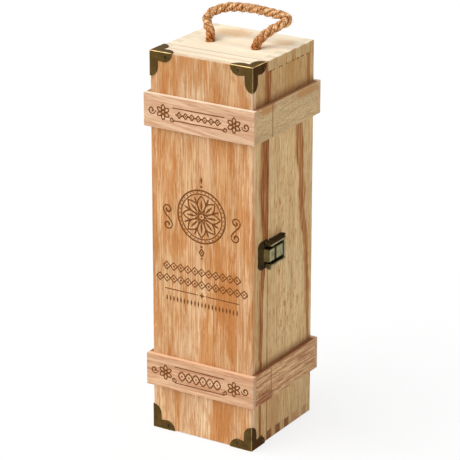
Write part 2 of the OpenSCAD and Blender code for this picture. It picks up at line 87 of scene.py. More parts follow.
# Rope handle
ROPE_D = 8 * MM
ROPE_HOLE_X = 23 * MM
ROPE_LAY = 25 * MM
ROPE_STRAIGHT = 2 * MM
ROPE_STEP = 0.6 * MM
ROPE_FOOT_H = 17 * MM
# The rope's middle line: across, back, and up from the top of the box, in millimetres
ROPE_POINTS = [
    (-23.5, 1.5, 4.2), (-25, 4, 6.2), (-28, 7, 8.5), (-31.5, 10, 11.2), (-34.5, 13.2, 14.6),
    (-34, 16.3, 18.2), (-30.5, 19, 21.2), (-25, 21.3, 23.6), (-18, 23, 25.5), (-9, 24, 26.5),
    (0, 24.5, 27), (9.5, 24.5, 27), (19, 24, 26.5), (28.5, 23.5, 26), (36, 23, 25.4),
    (41, 22, 24.2), (41.8, 19.6, 21.8), (38, 17.2, 19.3), (32.6, 14.4, 16), (28.4, 11.3, 12.6),
    (25.2, 8, 9.4), (23.7, 4.5, 6.6), (23.2, 1.5, 4.2),
]


# Camera and meshes

def direction(azimuth, elevation):
    """The way from the box to a camera or a lamp at these angles, in degrees."""
    a = math.radians(azimuth)
    e = math.radians(elevation)
    return Vector((math.sin(a) * math.cos(e), -math.cos(a) * math.cos(e), math.sin(e)))


def linked(name, data):
    """A new object with this data, in the scene."""
    piece = bpy.data.objects.new(name, data)
    bpy.context.collection.objects.link(piece)
    return piece


def add_camera():
    """The camera at the photograph's viewing angle."""
    away = direction(CAMERA_AZIMUTH, CAMERA_ELEVATION)
    data = bpy.data.cameras.new("camera")
    data.lens = CAMERA_LENS
    data.sensor_width = CAMERA_SENSOR
    data.clip_end = CAMERA_REACH
    camera = linked("camera", data)
    camera.location = CAMERA_TARGET + away * CAMERA_DISTANCE
    camera.rotation_mode = "QUATERNION"
    camera.rotation_quaternion = (-away).to_track_quat("-Z", "Y")
    bpy.context.scene.camera = camera


def opened(mesh):
    """A bmesh of a mesh."""
    bm = bmesh.new()
    bm.from_mesh(mesh)
    return bm


def mesh_from(bm, name):
    """A new mesh from bm, which is used up."""
    mesh = bpy.data.meshes.new(name)
    bm.to_mesh(mesh)
    bm.free()
    return mesh


def finished(bm, name, smooth=True):
    """A new object from bm, with its faces pointing outwards."""
    bmesh.ops.recalc_face_normals(bm, faces=bm.faces)
    mesh = mesh_from(bm, name)
    for face in mesh.polygons:
        face.use_smooth = smooth
    return linked(name, mesh)


def applied(piece):
    """piece with its modifiers turned into plain mesh."""
    evaluated = piece.evaluated_get(bpy.context.evaluated_depsgraph_get())
    mesh = bpy.data.meshes.new_from_object(evaluated)
    piece.modifiers.clear()
    old = piece.data
    name = piece.name
    if piece.type == "MESH":
        mesh.name = name
        piece.data = mesh
        bpy.data.meshes.remove(old)
        return piece
    bpy.data.objects.remove(piece)
    bpy.data.curves.remove(old)
    return linked(name, mesh)


def coated(mesh, material):
    """Gives a mesh one material."""
    mesh.materials.clear()
    mesh.materials.append(material)


def dressed(piece, material, body, slot, *nodes):
    """Gives a finished piece its material and body, and hides the nodes it stands for; slot is not
    used.
    """
    coated(piece.data, material)
    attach(piece, body)
    if nodes:
        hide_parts(*nodes)
    return piece


def arc(cx, cy, rx, ry, start, end, steps):
    """Points on a stretch of an ellipse, with the angles in degrees."""
    angles = [math.radians(start + (end - start) * i / steps) for i in range(steps + 1)]
    return [(cx + rx * math.cos(a), cy + ry * math.sin(a)) for a in angles]


# Rope

def smooth_route(points, step):
    """A smooth curve through the points, with its own points about step apart."""
    finer = 4
    slack = 1e-9
    ends = [2 * points[0] - points[1], *points, 2 * points[-1] - points[-2]]
    fine = []
    for a, b, c, d in zip(ends, ends[1:], ends[2:], ends[3:]):
        pieces = max(2, round((c - b).length / (step / finer)))
        for i in range(pieces):
            t = i / pieces
            fine.append(0.5 * (
                2 * b + (c - a) * t + (2 * a - 5 * b + 4 * c - d) * t * t
                + (3 * b - a - 3 * c + d) * t ** 3
            ))
    fine.append(points[-1])
    total = sum((q - p).length for p, q in zip(fine, fine[1:]))
    count = round(total / step)
    target = total / count
    route = [fine[0]]
    travelled = 0.0
    for p, q in zip(fine, fine[1:]):
        leg = (q - p).length
        while travelled + leg >= target * len(route) - slack and len(route) < count:
            route.append(p.lerp(q, (target * len(route) - travelled) / leg))
        travelled += leg
    route.append(fine[-1])
    return route


def carried_frames(route, side):
    """For each point of a route: its direction and two directions square to it that don't twist."""
    frames = []
    for i, point in enumerate(route):
        along = (route[min(i + 1, len(route) - 1)] - route[max(i - 1, 0)]).normalized()
        side = (side - side.dot(along) * along).normalized()
        frames.append((along, side, along.cross(side)))
    return frames


def laid_rope(bm, route, diameter, lay, side):
    """Adds three strands laid left-handed round a route, with the relief of their yarns."""
    strands = 3
    sides = 32
    yarns = 7
    yarn_turns = 3
    strand_r = 0.262 * diameter
    offset = 0.25 * diameter
    relief = 0.10
    swell = 0.035
    swell_per_mm = 0.61
    swell_shift = 2.1
    uneven_per_mm = 0.33
    pattern_shift = 1.37
    rate = -math.tau / lay
    uv = bm.loops.layers.uv.get("UVMap") or bm.loops.layers.uv.new("UVMap")
    crown = bm.verts.layers.float.get("crown") or bm.verts.layers.float.new("crown")
    frames = carried_frames(route, side)
    for strand in range(strands):
        travelled = 0.0
        rings = []
        for i, (point, (along, u, v)) in enumerate(zip(route, frames)):
            if i:
                travelled += (point - route[i - 1]).length
            far = travelled / MM
            turn = rate * travelled + math.tau * strand / strands
            out = math.cos(turn) * u + math.sin(turn) * v
            across = math.cos(turn) * v - math.sin(turn) * u
            way = (along + across * offset * rate).normalized()
            square = way.cross(out).normalized()
            mean_r = strand_r * (1 + swell * math.sin(far * swell_per_mm + strand * swell_shift))
            ring = []
            for k in range(sides):
                a = math.tau * k / sides
                yarn = yarns * a - yarn_turns * yarns * turn
                uneven = 1 + 0.5 * math.sin(2 * a + far * uneven_per_mm + strand)
                r = mean_r * (1 + relief * uneven * math.cos(yarn))
                spot = point + offset * out + r * (math.cos(a) * out + math.sin(a) * square)
                ring.append(bm.verts.new(spot))
                # crown is 1 on a strand's outside and 0 on its inside; the jute material paints shade
                # between the strands with it.
                ring[-1][crown] = 0.5 + 0.5 * math.cos(a)
            rings.append((ring, far, yarn_turns * (turn / math.tau)))
        for (first, s0, turn0), (second, s1, turn1) in zip(rings, rings[1:]):
            for k in range(sides):
                after = (k + 1) % sides
                face = bm.faces.new((first[k], first[after], second[after], second[k]))
                near = strand * pattern_shift + k / sides
                beyond = strand * pattern_shift + (k + 1) / sides
                corners = (
                    (s0, near - turn0), (s0, beyond - turn0), (s1, beyond - turn1), (s1, near - turn1),
                )
                for loop, corner in zip(face.loops, corners):
                    loop[uv].uv = corner
        bm.faces.new(reversed(rings[0][0]))
        bm.faces.new(rings[-1][0])


def rope_route():
    """The rope's points in metres, from the left hole's underside to the right one's."""
    def hole(side, z):
        return Vector((side * ROPE_HOLE_X, 0, z))
    middle = [Vector((x, y, 0)) * MM + Vector((0, 0, TOP_Z + z * MM)) for x, y, z in ROPE_POINTS]
    return [
        hole(-1, CEILING_Z), hole(-1, TOP_Z + ROPE_STRAIGHT),
        *middle,
        hole(1, TOP_Z + ROPE_STRAIGHT), hole(1, CEILING_Z),
    ]


def knot_piece(side, name):
    """A stopper knot: the rope's end with two turns of itself drawn tight round it."""
    tight_d = 6.2 * MM
    wrap_r = 6.2 * MM
    tail = 1.5 * MM
    lean = 0.5 * MM
    room = 0.3 * MM
    turns = 2.3
    steps = 40
    tight_lay = 0.8 * ROPE_LAY
    top = CEILING_Z - tight_d / 2 - room
    bottom = KNOT_LOW_Z + tight_d / 2
    centre = Vector((side * ROPE_HOLE_X, 0, 0))
    bm = bmesh.new()
    core = smooth_route([
        centre + Vector((0, 0, CEILING_Z)),
        centre + Vector((0, 0, (top + bottom) / 2)),
        centre + Vector((lean, lean, KNOT_LOW_Z - tail)),
    ], ROPE_STEP)
    laid_rope(bm, core, tight_d, tight_lay, Vector((1, 0, 0)))
    wrap = []
    for i in range(steps + 1):
        t = i / steps
        angle = side * math.tau * turns * t
        tuck = min(1, 5 * t, 5 * (1 - t))
        r = wrap_r * (0.35 + 0.65 * tuck)
        height = top + (bottom - top) * t
        wrap.append(centre + Vector((r * math.cos(angle), r * math.sin(angle), height)))
    laid_rope(bm, smooth_route(wrap, ROPE_STEP), tight_d, tight_lay, Vector((0, 0, 1)))
    return finished(bm, name)


def fibre_template():
    """One loose fibre, 3 mm long, thin and bent."""
    length = 3 * MM
    bend = 1.1 * MM
    root_r = 0.12 * MM
    joints = 4
    sides = 3
    bm = bmesh.new()
    rings = []
    for i in range(joints + 1):
        t = i / joints
        centre = Vector((bend * t * t, 0, length * t))
        r = root_r * (1 - 0.7 * t)
        rings.append([
            bm.verts.new(centre + Vector((r * math.cos(a), r * math.sin(a), 0)))
            for a in (math.tau * k / sides for k in range(sides))
        ])
    for first, second in zip(rings, rings[1:]):
        for k in range(sides):
            after = (k + 1) % sides
            bm.faces.new((first[k], first[after], second[after], second[k]))
    bm.faces.new(rings[0])
    bm.faces.new(rings[-1])
    return finished(bm, "fibre template")


def rope_fuzz(name, rope, kept, density, longest, material):
    """Loose fibres on the part of the rope that kept(place) names."""
    bm = opened(rope.data)
    bmesh.ops.delete(bm, geom=[v for v in bm.verts if not kept(v.co)], context="VERTS")
    template = fibre_template()
    piece = grown(finished(bm, name), fuzz_tree(), {
        "Fibre": template, "Fibres per square metre": density, "Longest": longest,
        "Material": material,
    })
    bpy.data.objects.remove(template)
    return dressed(piece, material, "base", "rope")


# Node trees

class Nodes:
    """Writes a node tree: each call adds a node or a few and returns what the next one reads."""

    def __init__(self, tree):
        self.tree = tree

    def put(self, socket, value):
        """Links an output to a socket, or sets a value there; colours are (red, green, blue)."""
        if isinstance(value, bpy.types.NodeSocket):
            self.tree.links.new(value, socket)
        elif value is not None:
            socket.default_value = (*value, 1) if socket.type == "RGBA" else value

    def add(self, kind, inputs=(), output=0, **settings):
        """One node, and its output of this name or number, or all of them for None."""
        node = self.tree.nodes.new(kind)
        for key, value in settings.items():
            setattr(node, key, value)
        pairs = inputs.items() if isinstance(inputs, dict) else enumerate(inputs)
        for key, value in pairs:
            self.put(node.inputs[key], value)
        return node.outputs if output is None else node.outputs[output]

    def math(self, operation, a, b=None, c=None):
        return self.add("ShaderNodeMath", (a, b, c), operation=operation)

    def times(self, a, b, plus=None):
        return self.math("MULTIPLY" if plus is None else "MULTIPLY_ADD", a, b, plus)

    def apart(self, a, b):
        """The distance between two values."""
        return self.math("ABSOLUTE", self.math("SUBTRACT", a, b))

    def vector(self, operation, a, b=None):
        output = "Value" if operation == "LENGTH" else "Vector"
        return self.add("ShaderNodeVectorMath", (a, b), output, operation=operation)

    def split(self, vector):
        return self.add("ShaderNodeSeparateXYZ", (vector,), None)

    def join(self, x, y, z):
        return self.add("ShaderNodeCombineXYZ", (x, y, z))

    def place(self):
        """The piece's own coordinates, in metres."""
        return self.add("ShaderNodeTexCoord", output="Object")

    def facing(self):
        """How far the surface faces along each axis of the piece."""
        return self.split(self.add("ShaderNodeTexCoord", output="Normal"))

    def attribute(self, name):
        return self.add("ShaderNodeAttribute", output="Fac", attribute_name=name)

    def noise(self, vector, scale=1.0, detail=2.0, roughness=0.5, distortion=0.0):
        return self.add("ShaderNodeTexNoise", {
            "Vector": vector, "Scale": scale, "Detail": detail,
            "Roughness": roughness, "Distortion": distortion,
        })

    def grain(self, u, v, rates, seed, detail=2, roughness=0.5):
        """Noise over two places in millimetres, with a rate per millimetre along each."""
        place = self.join(self.times(u, rates[0]), seed, self.times(v, rates[1]))
        return self.noise(place, detail=detail, roughness=roughness)

    def band(self, value, low, high, to_low=0.0, to_high=1.0):
        """value brought from low..high to to_low..to_high, smoothly and no further."""
        return self.add("ShaderNodeMapRange", (value, low, high, to_low, to_high),
                        interpolation_type="SMOOTHSTEP")

    def mix(self, factor, a, b, blend="MIX"):
        return self.add("ShaderNodeMix", {0: factor, 6: a, 7: b}, 2, data_type="RGBA", blend_type=blend)

    def laid(self, base, mask, strength, tone):
        """base with a colour laid over it where the mask is, at this strength."""
        return self.mix(self.times(mask, strength), base, tone)

    def tinted(self, base, tone):
        """base multiplied by a colour."""
        return self.mix(1.0, base, tone, "MULTIPLY")

    def shaded(self, base, value):
        """base multiplied by a grey value."""
        return self.tinted(base, self.join(value, value, value))

    def ramp(self, factor, stops, interpolation="LINEAR"):
        """A colour or a grey for each value; stops are (place, colour or grey)."""
        node = self.tree.nodes.new("ShaderNodeValToRGB")
        node.color_ramp.interpolation = interpolation
        elements = node.color_ramp.elements
        while len(elements) < len(stops):
            elements.new(1.0)
        for element, (place, tone) in zip(elements, stops):
            element.position = place
            element.color = (*tone, 1) if isinstance(tone, tuple) else (tone, tone, tone, 1)
        self.put(node.inputs[0], factor)
        return node.outputs[0]

    def curve(self, value, points):
        """A value read off a smooth line through the points, all from 0 to 1."""
        node = self.tree.nodes.new("ShaderNodeFloatCurve")
        line = node.mapping.curves[0]
        while len(line.points) < len(points):
            line.points.new(1.0, 1.0)
        for point, place in zip(line.points, points):
            point.location = place
        node.mapping.update()
        self.put(node.inputs["Value"], value)
        return node.outputs[0]

    def bump(self, height, strength, distance):
        return self.add("ShaderNodeBump", {
            "Strength": strength, "Distance": distance, "Height": height,
        })


def new_tree(name, kind, inputs, outputs):
    """A node tree with named sockets: inputs are (name, kind, value) and outputs (name, kind)."""
    tree = bpy.data.node_groups.new(name, kind)
    for socket, socket_kind, value in inputs:
        made = tree.interface.new_socket(socket, in_out="INPUT", socket_type=socket_kind)
        if value is not None:
            made.default_value = value
    for socket, socket_kind in outputs:
        tree.interface.new_socket(socket, in_out="OUTPUT", socket_type=socket_kind)
    read = tree.nodes.new("NodeGroupInput").outputs
    write = tree.nodes.new("NodeGroupOutput").inputs
    return Nodes(tree), read, write


def new_material(name, specular, roughness=None):
    """A material with a Principled BSDF: its node writer and that shader's inputs."""
    material = bpy.data.materials.new(name)
    material.use_nodes = True
    tree = material.node_tree
    tree.nodes.clear()
    shader = tree.nodes.new("ShaderNodeBsdfPrincipled")
    output = tree.nodes.new("ShaderNodeOutputMaterial")
    tree.links.new(shader.outputs[0], output.inputs[0])
    n = Nodes(tree)
    n.put(shader.inputs["Specular IOR Level"], specular)
    n.put(shader.inputs["Roughness"], roughness)
    return material, n, shader.inputs


def mottled(name, scale, detail, first, second):
    """A rough material mottled with two colours."""
    material, n, surface = new_material(name, 0.05, 0.9)
    cloud = n.noise(n.place(), scale=scale, detail=detail)
    n.put(surface["Base Color"], n.mix(n.band(cloud, 0.3, 0.7), first, second))
    return material


# Wood

FIGURE_INPUTS = {
    "Seed": 0.0, "Pith across": 0.0, "Pith behind": 60.0,
    "Ring width": 7.0, "Wander": 30.0, "Ragged": 3.0,
}


def wood_figure_group():
    """Figure of a board, from places in millimetres with the grain along Z."""
    masks = ("Patches", "Rings", "Streaks", "Fibres", "Pores", "Tone")
    numbers = [(name, "NodeSocketFloat", value) for name, value in FIGURE_INPUTS.items()]
    n, read, write = new_tree(
        "wood figure", "ShaderNodeTree", [("Place", "NodeSocketVector", None), *numbers],
        [(mask, "NodeSocketFloat") for mask in masks],
    )
    place = read["Place"]
    stride = {0: (37.1, 17.3, 91.7), "Scale": read["Seed"]}
    shift = n.add("ShaderNodeVectorMath", stride, operation="SCALE")
    moved = n.vector("ADD", place, shift)

    def stretched(across, along):
        return n.vector("MULTIPLY", moved, (1 / across, 1 / across, 1 / along))

    slow = n.noise(stretched(26, 150), detail=2, roughness=0.5)
    ragged = n.noise(stretched(1.9, 17), detail=3, roughness=0.65)
    x, y, _ = n.split(place)
    away = n.vector("LENGTH", n.join(
        n.math("SUBTRACT", x, read["Pith across"]), n.math("SUBTRACT", y, read["Pith behind"]), 0
    ))
    wandered = n.times(slow, read["Wander"], away)
    wandered = n.times(ragged, read["Ragged"], wandered)
    year = n.math("FRACT", n.math("DIVIDE", wandered, read["Ring width"]))
    rings = n.ramp(year, [
        (0, 0.0), (0.3, 0.08), (0.5, 0.45), (0.62, 0.85), (0.84, 1.0), (0.94, 0.5), (1, 0.0),
    ])
    n.put(write["Rings"], rings)
    broad = n.noise(stretched(15, 70), detail=2, roughness=0.5)
    feathered = n.times(ragged, 0.45, broad)
    n.put(write["Patches"], n.band(feathered, 0.66, 0.84))
    streaks = n.noise(stretched(4.2, 60), detail=4, roughness=0.62, distortion=0.3)
    n.put(write["Streaks"], n.band(streaks, 0.40, 0.62))
    lines = n.noise(stretched(1.5, 58), detail=2, roughness=0.6)
    n.put(write["Fibres"], lines)
    pores = n.noise(stretched(1.2, 12), detail=2, roughness=0.6)
    packed = n.times(rings, 0.07, pores)
    n.put(write["Pores"], n.band(packed, 0.55, 0.63))
    n.put(write["Tone"], n.noise(stretched(20, 110), detail=1))
    return n.tree


WOOD_FIGURE = wood_figure_group()
WOOD_ROUGHNESS = (0.76, 0.60)
WOOD_SHINE = 0.06
END_AXIS = {"up": 2, "across": 0, "deep": 1}
DARK_HEART = (0.175, 0.045, 0.010)
WARM_HEART = (0.35, 0.125, 0.030)


def grain_places(n, turn):
    """The piece's own places in millimetres, turned so that its grain runs along Z, and unturned."""
    x, y, z = n.split(n.vector("MULTIPLY", n.place(), (1 / MM, 1 / MM, 1 / MM)))
    orders = {
        "up, facing front": (x, y, z), "up, facing right": (y, x, z),
        "across, facing front": (z, y, x), "across, facing up": (y, z, x),
        "deep, facing right": (z, x, y),
    }
    return n.join(*orders[turn]), (x, y, z)


def wood(name, turn, light, warm, deep, end, seed, figure, amounts,
         strips=None, marks=None, ledge_light_and_shade=None, wash=None):
    """A board's material: light wood, a warm figure and deep fine lines. end is the tone of its end
    grain and ledge that of its upper edge, which is painted light: pale where light falls on that edge
    and dark where it lies in shade.
    figure is (pith across, pith behind, ring width, wander, ragged), and amounts says how strong
    its patches, rings, streaks, fibres and pores are. strips are (first place across, tone) of a
    glued-up panel. marks(n, base, x, y, z) adds what only this board has under its end grain,
    and wash what it has over it."""
    material, n, surface = new_material(name, WOOD_SHINE)
    place, (x, y, z) = grain_places(n, turn)
    if strips:
        half = SIDE_X / MM
        seed_span = 9
        at = n.add("ShaderNodeMapRange", (x, -half, half, 0, 1))
        starts = [start / (2 * half) + 0.5 for start, _ in strips]
        tones = n.ramp(at, list(zip(starts, [tone for _, tone in strips])), "CONSTANT")
        quarters = n.ramp(at, [(start, k / 4) for k, start in enumerate(starts)], "CONSTANT")
        seed = n.times(quarters, seed_span, seed)
    inputs = {"Place": place, **dict(zip(FIGURE_INPUTS, (seed, *figure)))}
    mask = n.add("ShaderNodeGroup", inputs, None, node_tree=WOOD_FIGURE)
    patches, rings, streaks, fibres, pores = amounts
    base = light
    for kind, strength in (("Patches", patches), ("Rings", rings), ("Streaks", streaks)):
        base = n.laid(base, mask[kind], strength, warm)
    base = n.shaded(base, n.band(mask["Tone"], 0.3, 0.7, 0.93, 1.06))
    base = n.laid(base, n.band(mask["Fibres"], 0.51, 0.61), fibres, deep)
    base = n.shaded(base, n.band(mask["Fibres"], 0.47, 0.37, 1.0, 1 + 0.15 * fibres))
    base = n.laid(base, mask["Pores"], pores, deep)
    if strips:
        base = n.tinted(base, tones)
    if marks:
        base = marks(n, base, x, y, z)
    facing = n.facing()
    whole = n.join(x, y, z)
    speckle = n.noise(whole, scale=0.9, detail=3, roughness=0.7)
    rings_seen = n.band(n.noise(whole, scale=0.13, detail=2), 0.35, 0.65, 0.88, 1.08)
    dark_end = tuple(0.88 * value for value in end)
    cut_wood = n.shaded(n.mix(n.band(speckle, 0.35, 0.7), end, dark_end), rings_seen)
    across = n.math("ABSOLUTE", facing[END_AXIS[turn.split(",")[0]]])
    base = n.mix(n.band(across, 0.6, 0.95), base, cut_wood)
    # The upper edge's own tone is painted light: pale on the front bands, where light falls on it, and
    # dark on the side bands, which lie in shade.
    if ledge_light_and_shade:
        base = n.mix(n.band(facing[2], 0.6, 0.95, 0, 0.85), base, ledge_light_and_shade)
    if wash:
        base = wash(n, base, x, y, z)
    n.put(surface["Base Color"], base)
    n.put(surface["Roughness"], n.band(mask["Fibres"], 0.2, 0.8, *WOOD_ROUGHNESS))
    relief = n.times(mask["Pores"], -0.6, mask["Fibres"])
    n.put(surface["Normal"], n.bump(relief, 0.35, 0.15 * MM))
    return material


def stripe(n, across, up, path, seed, soft=(1.6, 0.7), swing=1.6):
    """Mask of a heartwood stripe. path lists (height, near edge, far edge) in millimetres,
    soft is how gradual its near and far edges are, and swing is how far they wander."""
    height = n.math("DIVIDE", up, TOP_Z / MM)
    span = 2 * SIDE_X / MM

    def edge(column):
        place = n.curve(height, [(row[0] * MM / TOP_Z, row[column] / span + 0.5) for row in path])
        ragged = n.noise(n.join(n.times(up, 0.09), seed + column, 0), detail=4, roughness=0.6)
        moved = n.times(place, span, -span / 2 - swing / 2)
        return n.times(ragged, swing, moved)

    feather = n.grain(across, up, (0.9, 0.05), seed)
    placed = n.times(feather, 4.0, n.math("SUBTRACT", across, 2.0))
    after_near = n.math("SUBTRACT", placed, edge(1))
    reach = n.times(feather, 2.0, n.math("SUBTRACT", across, 1.0))
    before_far = n.math("SUBTRACT", edge(2), reach)
    return n.times(n.band(after_near, -soft[0], soft[0]), n.band(before_far, -soft[1], soft[1]))


def oval_stain(n, across, up, centre, half, seed):
    """Mask of a soft oval stain, in millimetres."""
    a = n.math("DIVIDE", n.math("SUBTRACT", across, centre[0]), half[0])
    b = n.math("DIVIDE", n.math("SUBTRACT", up, centre[1]), half[1])
    away = n.vector("LENGTH", n.join(a, b, 0))
    ragged = n.noise(n.join(n.times(across, 0.3), n.times(up, 0.06), seed), detail=3)
    return n.band(n.times(ragged, 0.9, away), 1.45, 0.85)


def oval_stains(n, across, up, *ovals):
    """Mask of several soft stains, each (centre, half size, seed)."""
    mask = oval_stain(n, across, up, *ovals[0])
    for oval in ovals[1:]:
        mask = n.math("MAXIMUM", mask, oval_stain(n, across, up, *oval))
    return mask


def front_marks(n, base, x, y, z):
    """A browner middle, thin red-brown lines, redder streaks near the top, and fine dark lines
    where the strips are glued."""
    middle = n.band(n.apart(z, 190), 130, 85)
    tint = n.mix(middle, (0.97, 1.05, 1.12), (0.945, 0.94, 0.905))
    base = n.tinted(base, tint)
    thin = n.grain(x, z, (1.0, 0.012), 2.0, roughness=0.6)
    base = n.laid(base, n.band(thin, 0.49, 0.58), 0.62, (0.455, 0.175, 0.055))
    red = oval_stains(n, x, z, ((-38, 322), (7, 16), 1.0), ((-22, 326), (3.5, 14), 2.0))
    base = n.laid(base, red, 0.5, (0.46, 0.175, 0.055))
    pale = oval_stain(n, x, z, (4, 240), (6, 60), 3.0)
    base = n.laid(base, pale, 0.3, (0.76, 0.50, 0.29))
    for joint in (11.5, 35.5):
        line = n.band(n.apart(x, joint), 0.35, 0.1)
        base = n.laid(base, line, 0.3, (0.30, 0.11, 0.03))
    return base


def right_only(n, mask, x):
    """The mask where it lies in the outer wood of the box's right side."""
    return n.times(mask, n.band(x, SIDE_X / MM - 6, SIDE_X / MM - 1))


def heartwood(n, base, mask, y, z, dark, warm, strength):
    """A heartwood stripe, streaked with a warmer brown, laid over the board where the mask is."""
    streaks = n.grain(y, z, (0.5, 0.025), 7.0, detail=4, roughness=0.7)
    tinted = n.mix(n.band(streaks, 0.40, 0.60), dark, warm)
    thin = n.band(streaks, 0.66, 0.52, 0.6, 1.0)
    return n.laid(base, n.times(mask, thin), strength, tinted)


def flecks(n, y, z, low, high):
    """Mask of broken brown flecks along the grain of an upright board."""
    fleck = n.grain(y, z, (0.47, 0.080), 3.0, detail=3, roughness=0.66)
    return n.band(fleck, low, high)


def painted_ledge_shade(n, base, x, z):
    """Painted shade: darker wood just above each band, where the band shades the wall."""
    outside = n.math("GREATER_THAN", n.math("ABSOLUTE", x), SIDE_X / MM - 0.3)
    for middle in (UPPER_BAND_Z, LOWER_BAND_Z):
        top = (middle + BAND_H / 2) / MM
        above = n.times(outside, n.math("GREATER_THAN", z, top - 1))
        shade = n.times(above, n.band(z, top + 9, top))
        base = n.laid(base, shade, 0.62, (0.21, 0.085, 0.028))
    return base


def painted_upper_shade(n, base, z):
    """Painted shade: the side is browner above the upper band, where less light falls on it."""
    above = n.band(z, 312, 316)
    return n.mix(above, base, n.tinted(base, (0.84, 0.78, 0.70))), above


def lid_side_marks(n, base, x, y, z):
    """A dark heartwood stripe that ends at the saw cut, and a reddish front edge."""
    base = n.laid(base, flecks(n, y, z, 0.53, 0.62), 0.42, (0.37, 0.155, 0.045))
    base, _ = painted_upper_shade(n, base, z)
    heart = stripe(n, y, z, [
        (60, -39.5, -34.5), (105, -39.5, -33.5), (150, -38.5, -31), (190, -34, -25.4),
        (215, -37, -24), (245, -39, -23.4), (283, -36, -23.5), (320, -31, -22), (345, -30, -22),
    ], 3.3, soft=(2.6, 0.7), swing=3.0)
    heart = right_only(n, heart, x)
    base = heartwood(n, base, heart, y, z, DARK_HEART, WARM_HEART, 0.95)
    front = n.times(n.band(y, -42.5, -46), flecks(n, y, z, 0.40, 0.58))
    base = n.laid(base, front, 0.5, (0.50, 0.20, 0.09))
    return split_line(n, painted_ledge_shade(n, base, x, z), x, y, SIDE_X, 0.5)


def base_side_marks(n, base, x, y, z):
    """A slanting heartwood stripe, brown flecks and stains, and dark glue under the fingers."""
    dense = oval_stains(n, y, z, ((2, 190), (24, 70), 5.0), ((8, 110), (26, 40), 6.0))
    brown = n.times(flecks(n, y, z, 0.53, 0.60), n.times(dense, 0.44, 0.48))
    base = n.mix(brown, base, (0.40, 0.17, 0.050))
    heart = stripe(n, y, z, [
        (60, 45, 50), (92, 41.5, 46.5), (113, 40.5, 47), (134, 39, 45), (154, 37, 44),
        (175, 34.5, 43.5), (185, 30.5, 40.5), (201, 28.5, 37.5), (218, 27, 39), (234, 27, 35.5),
        (251, 22.5, 35.5), (283, 21.5, 32), (345, 18, 26),
    ], 8.1, soft=(2.4, 1.4), swing=4.5)
    base, above = painted_upper_shade(n, base, z)
    heart = right_only(n, n.times(heart, n.math("SUBTRACT", 1, above)), x)
    base = heartwood(n, base, heart, y, z, (0.25, 0.080, 0.020), (0.43, 0.185, 0.052), 0.92)
    tail = stripe(n, y, z, [
        (60, -28, -25.5), (170, -28, -25.4), (210, -28, -24.2), (283, -28, -23.6), (345, -28, -19.5),
    ], 5.2, soft=(1.0, 0.8))
    tail = right_only(n, tail, x)
    base = heartwood(n, base, tail, y, z, DARK_HEART, WARM_HEART, 0.9)
    stain = n.times(oval_stain(n, y, z, (12, 330), (15, 36), 4.0), above)
    base = n.laid(base, stain, 0.54, (0.39, 0.205, 0.055))
    rear = stripe(n, y, z, [(300, 39.5, 44.5), (330, 39, 44), (348, 38.5, 43)], 6.4, soft=(1.4, 1.0))
    rear = right_only(n, n.times(rear, above), x)
    base = n.laid(base, rear, 0.8, (0.30, 0.12, 0.035))
    low = n.times(oval_stain(n, y, z, (-14, 24), (15, 46), 7.0), n.band(z, 44, 40))
    base = n.laid(base, low, 0.45, (0.40, 0.185, 0.06))
    base = split_line(n, painted_ledge_shade(n, base, x, z), x, y, SIDE_X, 0.5)
    edge = n.band(n.apart(z, CEILING_Z / MM - 0.5), 0.8, 0.3)
    broken = n.band(n.noise(n.join(y, 3.0, 0), scale=0.22, detail=2), 0.5, 0.58)
    glue = n.times(edge, broken)
    return n.laid(base, glue, 0.8, (0.07, 0.028, 0.01))


def bottom_marks(n, base, x, y, z):
    """The ends of the front fingers are dark brown, and those further back lighter."""
    ends = n.band(n.math("ABSOLUTE", x), 50, 50.6)
    back = n.band(y, 6, 26)
    shade = n.mix(back, (0.62, 0.52, 0.46), (1.35, 1.5, 1.7))
    wash = n.mix(ends, (1, 1, 1), shade)
    return n.tinted(base, wash)


def top_marks(n, base, x, y, z):
    """Orange tints near the back and faint reddish lines along the saw cut and the front."""
    tint = n.math("MAXIMUM", oval_stain(n, x, y, (-20, 33), (24, 15), 9.0),
                  n.times(oval_stain(n, x, y, (34, 30), (13, 13), 10.0), 0.7))
    base = n.laid(base, tint, 0.6, (0.80, 0.47, 0.21))
    wave = n.noise(n.join(n.times(x, 0.03), 2.0, 0), detail=2)
    line = n.apart(y, n.times(wave, 4, -38))
    faint = n.band(line, 1.0, 0.3)
    cut = n.band(n.apart(y, SPLIT_Y / MM), 1.3, 0.2)
    base = n.laid(base, n.math("MAXIMUM", faint, cut), 0.6, (0.62, 0.30, 0.15))
    front = n.band(y, FRONT_Y / MM + 8, FRONT_Y / MM + 5.5)
    return n.laid(base, front, 0.4, (0.80, 0.45, 0.21))


def sandy(n, base, y, z):
    """Fine light and dark speckle."""
    speck = n.grain(y, z, (0.45, 0.85), 4.0, detail=3, roughness=0.7)
    return n.shaded(base, n.band(speck, 0.36, 0.64, 0.80, 1.14))


def split_line(n, base, x, y, face_x, strength):
    """Reddish dark wood on both sides of the saw cut, on the face at face_x."""
    near = n.band(n.apart(y, SPLIT_Y / MM), 1.3, 0.3)
    near = n.times(near, n.math("GREATER_THAN", x, face_x / MM - 0.3))
    return n.laid(base, near, strength, (0.25, 0.07, 0.022))


def upper_band_side_marks(n, base, x, y, z):
    """Fine speckle, and orange-brown stains along both edges."""
    base = sandy(n, base, y, z)
    stain = oval_stains(
        n, y, z, ((-34, 310), (18, 6), 12.0), ((30, 309.5), (30, 5), 13.0), ((10, 279), (40, 4), 14.0),
    )
    base = n.laid(base, stain, 0.75, (0.42, 0.20, 0.070))
    return split_line(n, base, x, y, SIDE_X + BAND_T, 0.7)


